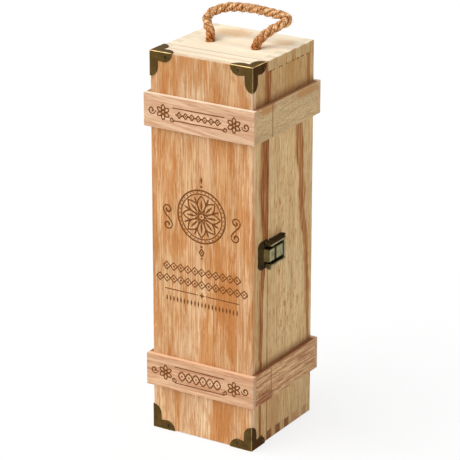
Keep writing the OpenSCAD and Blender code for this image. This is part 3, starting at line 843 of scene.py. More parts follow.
def lower_band_side_marks(n, base, x, y, z):
    """A red-brown lower front corner and an orange-brown end at the back."""
    base = sandy(n, base, y, z)
    line = n.grain(y, z, (0.025, 0.6), 5.0, detail=4, roughness=0.65)
    base = n.laid(base, n.band(line, 0.50, 0.58), 0.62, (0.29, 0.095, 0.042))
    base = n.laid(base, n.band(line, 0.46, 0.38), 0.5, (0.72, 0.49, 0.28))
    corner = oval_stain(n, y, z, (-38, 47), (20, 10), 15.0)
    grain = n.times(corner, n.band(line, 0.40, 0.54, 0.45, 0.9))
    base = n.mix(grain, base, (0.25, 0.085, 0.035))
    back = n.band(y, 50, 55)
    base = n.laid(base, back, 0.5, (0.42, 0.19, 0.065))
    return split_line(n, base, x, y, SIDE_X + BAND_T, 0.7)


def upper_band_front_marks(n, base, x, y, z):
    """Faint slanting reddish lines."""
    slanted = n.times(x, 0.13, z)
    line = n.grain(x, slanted, (0.012, 0.40), 6.0, detail=3, roughness=0.6)
    base = n.laid(base, n.band(line, 0.50, 0.62), 0.45, (0.46, 0.21, 0.115))
    return n.laid(base, n.band(line, 0.46, 0.36), 0.35, (0.82, 0.62, 0.44))


def lower_band_front_marks(n, base, x, y, z):
    """Darker pinkish brown lines through the middle."""
    line = n.grain(x, z, (0.013, 0.42), 8.0, detail=4, roughness=0.65)
    base = n.laid(base, n.band(line, 0.51, 0.58), 0.5, (0.40, 0.155, 0.075))
    return n.laid(base, n.band(line, 0.44, 0.34), 0.3, (0.80, 0.55, 0.37))


# Metal

def bronze(name, stops, rough, edge_tint, side_tone=None):
    """Aged bronze. The attribute worn runs from 0 on dark flats to 1 on bright edges, and stops are
    (worn, colour); the brightness is polish from use with a painted highlight on edges, and painted
    light on the latch's front faces. edge_tint colours its shine where it turns away, and side_tone
    darkens and warms faces that look to the left or right."""
    material, n, surface = new_material(name, 0.12)
    n.put(surface["Specular Tint"], edge_tint)
    place = n.place()
    worn = n.attribute("worn")
    cloud = n.noise(place, scale=150, detail=4, roughness=0.65)
    fine = n.noise(place, scale=1100, detail=2)
    uneven = n.times(worn, n.band(cloud, 0.25, 0.55, 0.7, 1.0))
    base = n.ramp(uneven, stops)
    shade = n.band(cloud, 0.3, 0.7, 0.78, 1.3)
    base = n.shaded(base, shade)
    if side_tone:
        sideways = n.math("ABSOLUTE", n.facing()[0])
        base = n.mix(n.band(sideways, 0.75, 0.95), base, n.tinted(base, side_tone))
    n.put(surface["Base Color"], base)
    n.put(surface["Metallic"], n.times(uneven, 0.25, 0.6))
    n.put(surface["Roughness"], n.band(cloud, 0.3, 0.7, rough, rough + 0.16))
    n.put(surface["Normal"], n.bump(n.times(fine, 0.3, cloud), 0.25, 0.1 * MM))
    return material


# Jute

def jute():
    """Twisted jute: fibres along each yarn, pale on the crowns, darkened between the strands by painted
    shade, and darker and redder towards the rope's feet, which is painted shade too."""
    material, n, surface = new_material("jute", 0.05, 0.85)
    along, around, _ = n.split(n.add("ShaderNodeUVMap", uv_map="UVMap"))

    def hairs(along_rate, around_rate, seed, detail, roughness=0.5):
        place = n.join(n.times(along, along_rate), n.times(around, around_rate), seed)
        return n.noise(place, detail=detail, roughness=roughness)

    fibre = hairs(0.13, 14, 0, 4, 0.7)
    tangle = hairs(0.4, 5, 4, 3, 0.6)
    patchy = hairs(0.14, 2, 5, 3)
    mixed = n.times(tangle, 0.4, n.times(fibre, 0.6))
    base = n.ramp(n.band(mixed, 0.40, 0.58), [
        (0.0, (0.14, 0.040, 0.008)), (0.30, (0.43, 0.165, 0.045)),
        (0.6, (0.70, 0.34, 0.125)), (1.0, (0.96, 0.68, 0.40)),
    ])
    base = n.mix(n.band(patchy, 0.45, 0.70, 0, 0.55), base, (0.34, 0.13, 0.040))
    # Painted shade between the strands, where crown is low.
    hollow_shade = n.band(n.times(patchy, 0.5, n.attribute("crown")), 0.62, 1.05)
    base = n.mix(hollow_shade, n.tinted(base, (0.46, 0.33, 0.22)), base)
    # Painted shade: darker and redder towards the rope's feet.
    foot_shade = n.band(n.split(n.place())[2], TOP_Z + ROPE_FOOT_H, TOP_Z + 3 * MM)
    base = n.mix(foot_shade, base, n.tinted(base, (0.80, 0.60, 0.44)))
    n.put(surface["Base Color"], base)
    n.put(surface["Normal"], n.bump(mixed, 0.7, 0.6 * MM))
    return material


# Geometry node trees

def geometry_tree(name, inputs):
    """An empty geometry node tree that takes and gives a mesh and names its material."""
    return new_tree(
        name, "GeometryNodeTree",
        [("Geometry", "NodeSocketGeometry", None), *inputs, ("Material", "NodeSocketMaterial", None)],
        [("Geometry", "NodeSocketGeometry")],
    )


def ended(n, read, write, geometry):
    """Ends a tree: its instances made real, in its material."""
    real = n.add("GeometryNodeRealizeInstances", (geometry,))
    n.put(write["Geometry"], n.add("GeometryNodeSetMaterial", {
        "Geometry": real, "Material": read["Material"],
    }))
    return n.tree


def grown(piece, tree, values):
    """piece with the tree run on it, as plain mesh."""
    modifier = piece.modifiers.new(tree.name, "NODES")
    modifier.node_group = tree
    for item in tree.interface.items_tree:
        if item.item_type == "SOCKET" and item.in_out == "INPUT" and item.name in values:
            modifier[item.identifier] = values[item.name]
    return applied(piece)


def fuzz_tree():
    """Loose fibres that stand out of a rope."""
    n, read, write = geometry_tree("loose fibres", [
        ("Fibre", "NodeSocketObject", None),
        ("Fibres per square metre", "NodeSocketFloat", 60000.0),
        ("Shortest", "NodeSocketFloat", 0.4),
        ("Longest", "NodeSocketFloat", 1.0),
        ("Seed", "NodeSocketInt", 4),
    ])
    seed = read["Seed"]
    tilt = 0.9
    scattered = n.add("GeometryNodeDistributePointsOnFaces", {
        "Mesh": read["Geometry"], "Density": read["Fibres per square metre"], "Seed": seed,
    }, None)
    fibre = n.add("GeometryNodeObjectInfo", {"Object": read["Fibre"]}, "Geometry")
    spin = n.add("FunctionNodeRandomValue", {
        "Min": (-tilt, -tilt, 0.0), "Max": (tilt, tilt, math.tau), "Seed": seed,
    }, "Value", data_type="FLOAT_VECTOR")
    tilted = n.add("FunctionNodeRotateRotation", {
        "Rotation": scattered["Rotation"], "Rotate By": spin,
    }, rotation_space="LOCAL")
    size = n.add("FunctionNodeRandomValue", {
        2: read["Shortest"], 3: read["Longest"], "Seed": seed,
    }, 1, data_type="FLOAT")
    return ended(n, read, write, n.add("GeometryNodeInstanceOnPoints", {
        "Points": scattered["Points"], "Instance": fibre, "Rotation": tilted, "Scale": size,
    }))


def nail_tree():
    """Nails on the vertices of a mesh, each turned by the vertex's own rotation."""
    n, read, write = geometry_tree("nails", [
        ("Nail", "NodeSocketObject", None),
    ])
    nail = n.add("GeometryNodeObjectInfo", {"Object": read["Nail"]}, "Geometry")
    facing = n.add("GeometryNodeInputNamedAttribute", {"Name": "facing"}, data_type="FLOAT_VECTOR")
    turned = n.add("FunctionNodeAlignRotationToVector", {"Vector": facing}, axis="Z")
    return ended(n, read, write, n.add("GeometryNodeInstanceOnPoints", {
        "Points": read["Geometry"], "Instance": nail, "Rotation": turned,
    }))


def burnt_line_tree():
    """Flat burnt lines along the splines of a curve."""
    n, read, write = geometry_tree("burnt lines", [
        ("Line width", "NodeSocketFloat", 1.0 * MM),
        ("Line height", "NodeSocketFloat", 0.12 * MM),
    ])
    section = n.add("GeometryNodeCurvePrimitiveQuadrilateral", {
        "Width": read["Line height"], "Height": read["Line width"],
    })
    flat = n.add("GeometryNodeSetCurveNormal", {
        "Curve": read["Geometry"], "Normal": (0.0, -1.0, 0.0),
    }, mode="FREE")
    width = n.add("GeometryNodeInputRadius")
    return ended(n, read, write, n.add("GeometryNodeCurveToMesh", {
        "Curve": flat, "Profile Curve": section, "Scale": width, "Fill Caps": True,
    }))


# Burnt ornament: every stroke is a list of (x, y, width) on a face, in millimetres

def traced(steps, spot):
    """A stroke through spot(t) while t runs from 0 to 1."""
    return [spot(i / steps) for i in range(steps + 1)]


def line_stroke(x0, y0, x1, y1, width=0.9):
    return traced(2, lambda t: (x0 + (x1 - x0) * t, y0 + (y1 - y0) * t, width))


def tapered(x0, y0, x1, y1, width):
    """A stroke that swells to its full width half way."""
    return traced(8, lambda t: (
        x0 + (x1 - x0) * t, y0 + (y1 - y0) * t, 0.1 + (width - 0.1) * math.sin(math.pi * t)
    ))


def ring_stroke(cx, cy, r, width, steps):
    return [(x, y, width) for x, y in arc(cx, cy, r, r, 0, 360, steps)]


def dot(cx, cy, r):
    """A filled round spot, as a short stroke that widens and narrows."""
    return [
        (cx + r * math.sin(t), cy, 0.02 + 2 * r * math.cos(t))
        for t in (math.pi * (i / 8 - 0.5) for i in range(9))
    ]


def curl(cx, cy, r, start, turns, width, hand):
    """A spiral that winds in from radius r to its eye."""
    def spot(t):
        angle = math.radians(start) + hand * math.tau * turns * t
        reach = r * (1 - 0.82 * t)
        return cx + reach * math.cos(angle), cy + reach * math.sin(angle), width * (0.6 + 0.6 * t)
    return traced(30, spot)


def petal(cx, cy, inner, outer, angle, half, width):
    """A pointed petal's outline that leaves the centre at an angle, in two strokes."""
    a = math.radians(angle)

    def spot(t, hand):
        along = inner + (outer - inner) * t
        side = hand * half * math.sin(math.pi * t)
        return (
            cx + along * math.cos(a) - side * math.sin(a),
            cy + along * math.sin(a) + side * math.cos(a),
            width,
        )
    return [traced(12, lambda t: spot(t, -1)), traced(12, lambda t: spot(t, 1))]


def lozenge(cx, cy, half_w, half_h, width):
    corners = [(cx - half_w, cy), (cx, cy + half_h), (cx + half_w, cy), (cx, cy - half_h)]
    return [line_stroke(*a, *b, width) for a, b in zip(corners, corners[1:] + corners[:1])]


def flower(cx, cy, r, petals, width):
    strokes = [ring_stroke(cx, cy, r * 0.2, width, 14)]
    for k in range(petals):
        strokes += petal(cx, cy, r * 0.2, r, 360 * k / petals + 90, r * 0.24, width)
    return strokes


def s_scroll(cx, cy, height, hand, width):
    """An upright S with a curl at each end."""
    r = height * 0.2
    strokes = [curl(cx, cy + height * 0.3, r, 90 - hand * 90 + 180, 1.1, width, -hand)]
    strokes.append(curl(cx, cy - height * 0.3, r, 90 - hand * 90, 1.1, width, -hand))
    strokes.append(traced(12, lambda t: (
        cx - hand * r * math.cos(math.pi * t), cy + height * 0.3 * (1 - 2 * t), width * 0.8
    )))
    return strokes


def star(cx, cy, r):
    """Four tapered points."""
    return [tapered(cx - r, cy, cx + r, cy, r * 0.7), tapered(cx, cy - r, cx, cy + r, r * 0.7)]


def band_end(hand):
    """A flower with a curl outside it and a small one inside, for one end of a band."""
    x = hand * 35.5
    strokes = flower(x, 0.3, 7.0, 6, 1.15)
    strokes.append(curl(x + hand * 11.6, 0.6, 3.9, 90 + hand * 90, 1.25, 1.4, hand))
    strokes.append(curl(x - hand * 9.0, -4.9, 2.5, 90 - hand * 90 + 180, 1.1, 1.2, hand))
    return strokes


def rules(half_length, height):
    """A thin line above the middle and one below it."""
    return [line_stroke(-half_length, y, half_length, y) for y in (height, -height)]


def upper_band_ornament():
    """Two rules between the flowers, with a chain of lozenges and dots."""
    strokes = band_end(-1) + band_end(1)
    strokes += rules(26, 5.6)
    for k in range(-3, 4):
        strokes += lozenge(k * 6.4, 0, 2.3, 2.8, 1.1)
        strokes.append(dot(k * 6.4, 0, 0.6))
    for k in range(-4, 4):
        strokes.append(dot((k + 0.5) * 6.4, 0, 0.75))
    return strokes


def crossed_waves(y, half_length, waves, height, width):
    """Two crossing waves with a dot in every eye."""
    strokes = []
    for hand in (-1, 1):
        strokes.append([
            (half_length * t, y + hand * height * math.sin(math.pi * waves * (t + 1)), width)
            for t in (i / 64 - 1 for i in range(129))
        ])
    for k in range(2 * waves):
        strokes.append(dot(half_length * ((k + 0.5) / waves - 1), y, 0.8))
    return strokes


def lower_band_ornament():
    """Two rules between the flowers, with crossed waves."""
    return band_end(-1) + band_end(1) + rules(26, 7.6) + crossed_waves(0, 22, 3, 4.2, 1.15)


def ray(cy, angle, inner, outer, width):
    """A tapered stroke that points away from the medallion's middle."""
    a = math.radians(angle)
    return tapered(inner * math.cos(a), cy + inner * math.sin(a),
                   outer * math.cos(a), cy + outer * math.sin(a), width)


def medallion(cy):
    """A round flower inside two rings, with a ring of dots between them."""
    strokes = [ring_stroke(0, cy, 24, 1.5, 72), ring_stroke(0, cy, 20.6, 1.1, 64)]
    for k in range(36):
        a = math.tau * k / 36
        strokes.append(dot(22.3 * math.cos(a), cy + 22.3 * math.sin(a), 0.6))
    strokes += [ring_stroke(0, cy, 3.0, 1.3, 20), dot(0, cy, 0.9)]
    for k in range(8):
        angle = 45 * k + 90
        strokes += petal(0, cy, 3.4, 19.2, angle, 4.3, 1.25)
        strokes += [ray(cy, angle, 5, 15.5, 1.9), ray(cy, angle + 22.5, 12, 19.4, 1.7)]
    return strokes


def chain_row(y, count):
    """A row of touching lozenges with a dot in each."""
    pitch = 7.2
    half = 3.6
    strokes = []
    for hand in (-1, 1):
        strokes.append([
            ((k / 2 - count / 2) * pitch, y + hand * half * (k % 2), 1.25) for k in range(2 * count + 1)
        ])
    for k in range(count):
        strokes.append(dot((k - (count - 1) / 2) * pitch, y, 0.85))
    return strokes


def panel_ornament():
    """A round medallion between two scrolls, over two chains of lozenges and a ruled line."""
    strokes = medallion(209)
    strokes += s_scroll(-34.5, 203, 23, 1, 1.6) + s_scroll(34.5, 203, 23, -1, 1.6)
    for z, r in ((236.4, 1.1), (181.4, 1.1), (170.6, 0.9)):
        strokes.append(dot(0, z, r))
    strokes += lozenge(0, 176, 2.4, 3.4, 1.2) + [dot(0, 176, 0.8), tapered(0, 238.6, 0, 245.5, 1.8)]
    strokes += chain_row(157.5, 11) + chain_row(146, 13)
    strokes += [line_stroke(-38, 136, -6, 136), line_stroke(6, 136, 38, 136)]
    strokes += star(0, 136, 2.8) + [dot(-4.6, 136, 0.6), dot(4.6, 136, 0.6)]
    for k in range(-10, 11):
        strokes.append(tapered(k * 3.6, 124.6, k * 3.6, 130.2, 1.5))
    return strokes


def burnt_ornament(name, strokes, middle_z, face_y, tree, material, slot):
    """The strokes as flat burnt lines on a face that looks to the front. Neighbouring strokes
    lie at different heights, so that they don't share a surface where they cross."""
    heights = 37
    height_step = 0.0025 * MM
    data = bpy.data.curves.new(name, "CURVE")
    data.dimensions = "3D"
    for number, stroke in enumerate(strokes):
        spline = data.splines.new("POLY")
        spline.points.add(len(stroke) - 1)
        lift = number % heights * height_step
        for point, (x, z, width) in zip(spline.points, stroke):
            point.co = (x * MM, face_y - lift, middle_z + z * MM, 1)
            point.radius = width
    sizes = {"Line width": MM, "Line height": 0.1 * MM, "Material": material}
    return dressed(grown(linked(name, data), tree, sizes), material, "lid", slot)


# Metal pieces

SAME_PLACE = 1e-6
# How bright the metal is drawn, in tenths: polish from use with a painted highlight on edges, corners,
# folds and rims, polish on the latch's outward faces, and painted light on its front faces
EDGE_WEAR_AND_HIGHLIGHT = 10
CORNER_WEAR_AND_HIGHLIGHT = 9
FOLD_WEAR_AND_HIGHLIGHT = 6
FACE_WEAR = 5
RIM_WEAR_AND_HIGHLIGHT = 4
FRONT_PAINTED_LIGHT = 2


def welded(node):
    """A bmesh of a node's own shape, with its doubled corners joined."""
    bm = opened(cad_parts[node].data)
    bmesh.ops.remove_doubles(bm, verts=bm.verts, dist=SAME_PLACE)
    return bm


def nail_template(head_r, head_h, shank_r, length):
    """A turned nail with a domed head, a bright rim and a dimple, standing on its head's seat. The
    rim's brightness is polish from use with a painted highlight.
    """
    tip_l = 1.4 * MM
    rim_r = head_r * 0.42
    turns = 20
    profile = [(0.0, -length), (shank_r, tip_l - length), (shank_r, 0.0), (head_r, 0.0)]
    profile += arc(0, 0, head_r, head_h, 8, 58, 5)
    profile += [(rim_r, head_h * 0.80), (head_r * 0.30, head_h * 0.35), (0.0, head_h * 0.25)]
    bm = bmesh.new()
    verts = [bm.verts.new((r, 0, z)) for r, z in profile]
    edges = [bm.edges.new(pair) for pair in zip(verts, verts[1:])]
    bmesh.ops.spin(bm, geom=verts + edges, axis=(0, 0, 1), cent=(0, 0, 0), angle=math.tau, steps=turns)
    bmesh.ops.remove_doubles(bm, verts=bm.verts, dist=SAME_PLACE)
    nail = finished(bm, "nail template")
    worn = nail.data.attributes.new("worn", "FLOAT", "POINT")
    for vertex, item in zip(nail.data.vertices, worn.data):
        # The rim is drawn bright: polish from use and a painted highlight.
        on_rim = rim_r * 0.98 < vertex.co.xy.length < head_r * 0.66 and vertex.co.z > 0
        item.value = 0.9 if on_rim else 0.0
    return nail


def solid_boxes(node):
    """The lowest and highest corner of each separate solid of a node."""
    bm = welded(node)
    left = set(bm.verts)
    boxes = []
    while left:
        island = {left.pop()}
        front = list(island)
        while front:
            for edge in front.pop().link_edges:
                for vert in edge.verts:
                    if vert in left:
                        left.discard(vert)
                        island.add(vert)
                        front.append(vert)
        boxes.append(tuple(
            Vector(pick(vert.co[axis] for vert in island) for axis in range(3)) for pick in (min, max)
        ))
    bm.free()
    return sorted(boxes, key=lambda pair: tuple(round(value, 5) for value in pair[0]))


def nails_for(node, body, tree, material):
    """The nails of a node, turned and dimpled, where its solids are."""
    head_h = 0.6 * MM
    shank_r = 0.6 * MM
    places = []
    directions = []
    for low, high in solid_boxes(node):
        size = high - low
        axis = max(range(3), key=lambda k: size[k])
        middle = (low + high) / 2
        outward = Vector((0, 0, 0))
        outward[axis] = math.copysign(1, middle[axis])
        head_r = min(size[k] for k in range(3) if k != axis) / 2
        length = size[axis] - head_h
        places.append(middle + outward * (size[axis] / 2 - head_h))
        directions.append(outward)
    mesh = bpy.data.meshes.new(node)
    mesh.from_pydata([tuple(place) for place in places], [], [])
    facing = mesh.attributes.new("facing", "FLOAT_VECTOR", "POINT")
    for item, direction in zip(facing.data, directions):
        item.vector = direction
    template = nail_template(head_r, head_h, shank_r, length)
    piece = grown(linked(f"{node}_turned", mesh), tree, {"Nail": template, "Material": material})
    bpy.data.objects.remove(template)
    return dressed(piece, material, body, "bronze", node)


def guard_outline(second_lobed):
    """Outline of one leaf of a guard from its first arm's tip to the second's, in millimetres."""
    length = 22.0
    arm = 7.6
    lobe = 0.8
    rounded = 8.5
    steps = 12
    straight = length - rounded
    second = arm + lobe * second_lobed
    start = -15 * second_lobed
    return (
        arc(straight, 0, rounded, arm + lobe, 0, 105, steps)
        + [(arm, arm)]
        + arc(0, straight, second, rounded, start, 90, steps)
    )


def bevelled(bm, edges, width, segments, layer, mark):
    """Bevels the edges and writes a mark on the new faces."""
    made = bmesh.ops.bevel(bm, geom=edges, offset=width, offset_type="OFFSET", segments=segments,
                           profile=0.5, affect="EDGES", clamp_overlap=True)
    for face in made["faces"]:
        face[layer] = mark
        face.smooth = True


def wear_and_highlight_to_corners(piece):
    """Turns the face attribute wear, in tenths, into the corners' attribute worn; both hold polish from
    use with painted highlights, and painted light on the latch's front faces.
    """
    mesh = piece.data
    marks = [item.value for item in mesh.attributes["wear"].data]
    worn = mesh.attributes.new("worn", "FLOAT", "CORNER")
    for face in mesh.polygons:
        for loop in face.loop_indices:
            worn.data[loop].value = marks[face.index] / 10
    mesh.attributes.remove(mesh.attributes["wear"])


def guard_piece(side, top, name, material):
    """A guard folded from sheet metal over one front corner, drawn bright along its folds and rims by
    polish from use with a painted highlight.
    """
    fold_w = 0.42 * MM
    rim_w = 0.16 * MM
    bright_l = 1.2 * MM
    rim_angle = math.radians(60)
    # The two axes that each leaf lies along, and whether its second end is lobed
    leaves = (((0, 2), 0), ((1, 2), 0), ((0, 1), 1))
    corner = Vector((side * SIDE_X, FRONT_Y, TOP_Z if top else 0))
    inward = Vector((-side, 1, -1 if top else 1))
    outer = corner - inward * SHEET_T
    bm = bmesh.new()
    wear = bm.faces.layers.int.new("wear")
    hub = bm.verts.new(outer)
    tips = {}

    def tip(axis, reach):
        """The end of the fold along this axis, which two leaves share."""
        if axis not in tips:
            place = outer.copy()
            place[axis] = corner[axis] + inward[axis] * reach * MM
            tips[axis] = bm.verts.new(place)
        return tips[axis]

    for (first, second), lobed in leaves:
        outline = guard_outline(lobed)
        ring = [hub, tip(first, max(outline[0]))]
        for u, v in outline[1:-1]:
            place = outer.copy()
            place[first] = corner[first] + inward[first] * u * MM
            place[second] = corner[second] + inward[second] * v * MM
            ring.append(bm.verts.new(place))
        ring.append(tip(second, max(outline[-1])))
        face = bm.faces.new(ring)
        face.normal_update()
        if face.normal.dot(inward) > 0:
            face.normal_flip()
    folds = [edge for edge in bm.edges if len(edge.link_faces) == 2]
    bevelled(bm, folds, fold_w, 2, wear, CORNER_WEAR_AND_HIGHLIGHT)
    for face in bm.faces:
        if face[wear] and abs(face.calc_center_median().z - outer.z) > bright_l:
            face[wear] = FOLD_WEAR_AND_HIGHLIGHT
    piece = linked(name, mesh_from(bm, name))
    wall = piece.modifiers.new("sheet", "SOLIDIFY")
    wall.thickness = SHEET_T
    wall.offset = -1
    wall.use_even_offset = True
    applied(piece)
    bm = opened(piece.data)
    wear = bm.faces.layers.int["wear"]
    rims = [edge for edge in bm.edges if len(edge.link_faces) == 2
            and edge.calc_face_angle() > rim_angle]
    bevelled(bm, rims, rim_w, 2, wear, RIM_WEAR_AND_HIGHLIGHT)
    bm.to_mesh(piece.data)
    bm.free()
    wear_and_highlight_to_corners(piece)
    return dressed(piece, material, "lid", "bronze", name.removesuffix("_folded"))


def latch_wear_and_light(normal, middle):
    """The outward faces of the latch are polished most by use; its front faces are drawn a little
    brighter with painted light.
    """
    if normal.x > 0.9 and middle.x > SIDE_X + 4 * MM:
        return FACE_WEAR
    # Painted light: the front faces are drawn a little brighter.
    if normal.y < -0.9 and middle.x > SIDE_X + 1 * MM:
        return FRONT_PAINTED_LIGHT
    return 0


def edged_copy(node, body, slot, material, rubbed_and_lit=None):
    """A node's own shape with its long edges softened and drawn bright, by polish from use with a
    painted highlight laid on them. rubbed(normal, middle) gives the brightness of a flat face, in
    tenths, from use and painted light, and without it the flats are dark."""
    edge_w = 0.45 * MM
    least_l = 1.5 * MM
    flat_angle = math.radians(1)
    edge_angle = math.radians(40)
    sharp_angle = math.radians(25)
    bm = welded(node)
    bmesh.ops.dissolve_limit(bm, angle_limit=flat_angle, verts=bm.verts, edges=bm.edges)
    wear = bm.faces.layers.int.new("wear")
    for face in bm.faces:
        face[wear] = rubbed_and_lit(face.normal, face.calc_center_median()) if rubbed_and_lit else 0
        face.smooth = True
    long_edges = [
        edge for edge in bm.edges
        if len(edge.link_faces) == 2 and edge.calc_length() > least_l
        and edge.calc_face_angle_signed() > edge_angle
    ]
    bevelled(bm, long_edges, edge_w, 1, wear, EDGE_WEAR_AND_HIGHLIGHT)
    bmesh.ops.triangulate(bm, faces=[face for face in bm.faces if len(face.verts) > 4])
    mesh = mesh_from(bm, node)
    mesh.set_sharp_from_angle(angle=sharp_angle)
    piece = linked(f"{node}_worn", mesh)
    wear_and_highlight_to_corners(piece)
    return dressed(piece, material, body, slot, node)


# Floor and light

def seen_directly(n):
    """1 where a camera, mirror or glass ray arrives, and 0 for the light that bounces about."""
    rays = n.add("ShaderNodeLightPath", output=None)
    bounced = n.math("MAXIMUM", rays["Is Glossy Ray"], rays["Is Transmission Ray"])
    return n.math("MAXIMUM", rays["Is Camera Ray"], bounced)


def floor_material():
    """White floor that keeps a faint shadow."""
    glow_share = 0.8
    material, n, surface = new_material("floor", 0.0, 1.0)
    n.put(surface["Base Color"], (0.93, 0.93, 0.93))
    shader = surface["Base Color"].node.outputs[0]
    output = shader.links[0].to_socket
    glow = n.add("ShaderNodeEmission", {"Strength": 1.0})
    mixed = n.add("ShaderNodeMixShader", (n.times(seen_directly(n), glow_share), shader, glow))
    n.put(output, mixed)
    return material


def add_floor():
    """A wide plain floor under the box."""
    half = 8.0
    gap = 0.2 * MM
    z = cad_low.z - gap
    bm = bmesh.new()
    corners = ((-half, -half), (half, -half), (half, half), (-half, half))
    bm.faces.new([bm.verts.new((x, y, z)) for x, y in corners])
    plane = finished(bm, "floor", False)
    coated(plane.data, floor_material())


def add_daylight(name, azimuth, elevation, softness, level):
    """Soft daylight from one side of the box that lights what faces it at this level."""
    distance = 3
    way = direction(azimuth, elevation)
    data = bpy.data.lights.new(name, "SUN")
    data.angle = math.radians(softness)
    data.energy = level * math.pi
    lamp = linked(name, data)
    lamp.location = way * distance
    lamp.rotation_mode = "QUATERNION"
    lamp.rotation_quaternion = way.to_track_quat("Z", "Y")


def add_light():
    """A soft key light from the left and above, weaker fills from the other sides and a dim sky."""
    add_daylight("key", -46, 50, 66, 0.84)
    add_daylight("front fill", -8, 12, 70, 0.20)
    add_daylight("right fill", 78, 5, 60, 0.31)
    add_daylight("back fill", 172, 18, 80, 0.20)
    world = bpy.data.worlds.new("studio")
    bpy.context.scene.world = world
    world.use_nodes = True
    world.node_tree.nodes.clear()
    n = Nodes(world.node_tree)
    dim = 0.32
    sky_level = n.times(seen_directly(n), 1 - dim, dim)
    sky = n.add("ShaderNodeBackground", {"Color": (1, 1, 1), "Strength": sky_level})
    n.add("ShaderNodeOutputWorld", (sky,), None)
    bpy.context.scene.view_settings.view_transform = "Standard"


# The box

add_camera()

SIDES = ((-1, "left"), (1, "right"))
BODIES = ("lid", "base")

# Rope handle
JUTE = jute()
FIBRES = mottled("jute fibres", 300, 1, (0.72, 0.38, 0.17), (0.42, 0.17, 0.055))
route = rope_route()
fine_route = smooth_route(route, ROPE_STEP)
bm = bmesh.new()
laid_rope(bm, fine_route, ROPE_D, ROPE_LAY, Vector((0, 1, 0)))
rope = dressed(finished(bm, "rope_laid"), JUTE, "base", "rope", "rope_handle")
knots = [
    dressed(knot_piece(side, f"rope_knot_{name}_tied"), JUTE, "base", "rope", f"rope_knot_{name}")
    for side, name in SIDES
]


def above_the_top(place):
    return place.z > TOP_Z + 1 * MM


def right_foot(place):
    return place.x > 0 and TOP_Z + 0.5 * MM < place.z < TOP_Z + ROPE_FOOT_H


fibres = [
    rope_fuzz("rope_fibres", rope, above_the_top, 90000.0, 1.0, FIBRES),
    rope_fuzz("rope_foot_fibres", rope, right_foot, 900000.0, 1.5, FIBRES),
]
tuple(route[0])

# Finishes
FRONT_WOOD = wood(
    "front wood", "up, facing front", (0.745, 0.515, 0.308), (0.53, 0.235, 0.076),
    (0.40, 0.132, 0.030), end=(0.84, 0.66, 0.46), seed=1.3, figure=(-14, 46, 9, 70, 5),
    amounts=(0.85, 0.24, 0.24, 0.36, 0.44), marks=front_marks,
    strips=[
        (-51, (0.96, 0.92, 0.86)), (-24, (0.99, 0.99, 0.99)), (11.5, (0.88, 0.78, 0.66)),
        (35.5, (0.99, 1.0, 1.02)),
    ],
)
# The side boards' pale end tone shows on the top and is painted light, drawn like the top wood.
LID_SIDE_WOOD = wood(
    "lid side wood", "up, facing right", (0.60, 0.43, 0.225), (0.49, 0.29, 0.115),
    (0.34, 0.16, 0.045), end=(0.88, 0.75, 0.545), seed=2.7, figure=(-60, 140, 11, 40, 8),
    amounts=(0, 0.3, 0.4, 0.4, 0.3), marks=lid_side_marks,
)
BASE_SIDE_WOOD = wood(
    "base side wood", "up, facing right", (0.655, 0.475, 0.255), (0.53, 0.325, 0.135),
    (0.36, 0.17, 0.052), end=(0.88, 0.75, 0.545), seed=4.1, figure=(10, 130, 13, 50, 9),
    amounts=(0, 0.3, 0.35, 0.3, 0.3), marks=base_side_marks,
)
# The top wood's pale tones are painted light: the top is drawn paler than the other boards because the
# most light falls on it.
TOP_WOOD = wood(
    "top wood", "across, facing up", (0.905, 0.81, 0.635), (0.87, 0.71, 0.49), (0.78, 0.52, 0.30),
    end=(0.535, 0.365, 0.18), seed=6.2, figure=(40, 300, 16, 30, 3),
    amounts=(0, 0.25, 0.35, 0.18, 0.14), marks=top_marks,
)
BOTTOM_WOOD = wood(
    "bottom wood", "across, facing up", (0.74, 0.54, 0.32), (0.60, 0.38, 0.20), (0.50, 0.28, 0.13),
    end=(0.40, 0.20, 0.085), seed=7.9, figure=(40, -60, 9, 30, 3), amounts=(0, 0.4, 0.3, 0.2, 0.4),
    wash=bottom_marks,
)
BACK_WOOD = wood(
    "back wood", "up, facing front", (0.74, 0.48, 0.275), (0.52, 0.265, 0.11), (0.40, 0.17, 0.06),
    end=(0.62, 0.42, 0.24), seed=9.4, figure=(20, 100, 10, 60, 7),
    amounts=(0.55, 0.35, 0.3, 0.42, 0.4),
    strips=[
        (-51, (1.03, 1.03, 1.03)), (-19, (0.96, 0.92, 0.86)), (14, (1.02, 1.0, 0.98)),
    ],
)
# The upper-edge tones of these bands are painted light on the front bands and painted shade on the side
# bands.
UPPER_BAND_WOOD = wood(
    "upper band wood", "across, facing front", (0.68, 0.45, 0.285), (0.54, 0.31, 0.175),
    (0.40, 0.18, 0.09), end=(0.55, 0.36, 0.21), seed=11.8, figure=(250, 40, 8, 24, 2.5),
    amounts=(0, 0.3, 0.3, 0.25, 0.3), marks=upper_band_front_marks, ledge_light_and_shade=(0.92, 0.81, 0.64),
)
LOWER_BAND_WOOD = wood(
    "lower band wood", "across, facing front", (0.665, 0.425, 0.255), (0.45, 0.215, 0.108),
    (0.31, 0.125, 0.06), end=(0.52, 0.33, 0.20), seed=13.1, figure=(20, 30, 5, 14, 3),
    amounts=(0, 0.4, 0.3, 0.3, 0.25), marks=lower_band_front_marks, ledge_light_and_shade=(0.86, 0.56, 0.35),
)
UPPER_BAND_SIDE_WOOD = wood(
    "upper band side wood", "deep, facing right", (0.56, 0.405, 0.22), (0.47, 0.31, 0.15),
    (0.34, 0.18, 0.08), end=(0.50, 0.33, 0.19), seed=15.5, figure=(330, 40, 9, 26, 3),
    amounts=(0, 0.2, 0.25, 0.15, 0.35), marks=upper_band_side_marks, ledge_light_and_shade=(0.38, 0.155, 0.065),
)
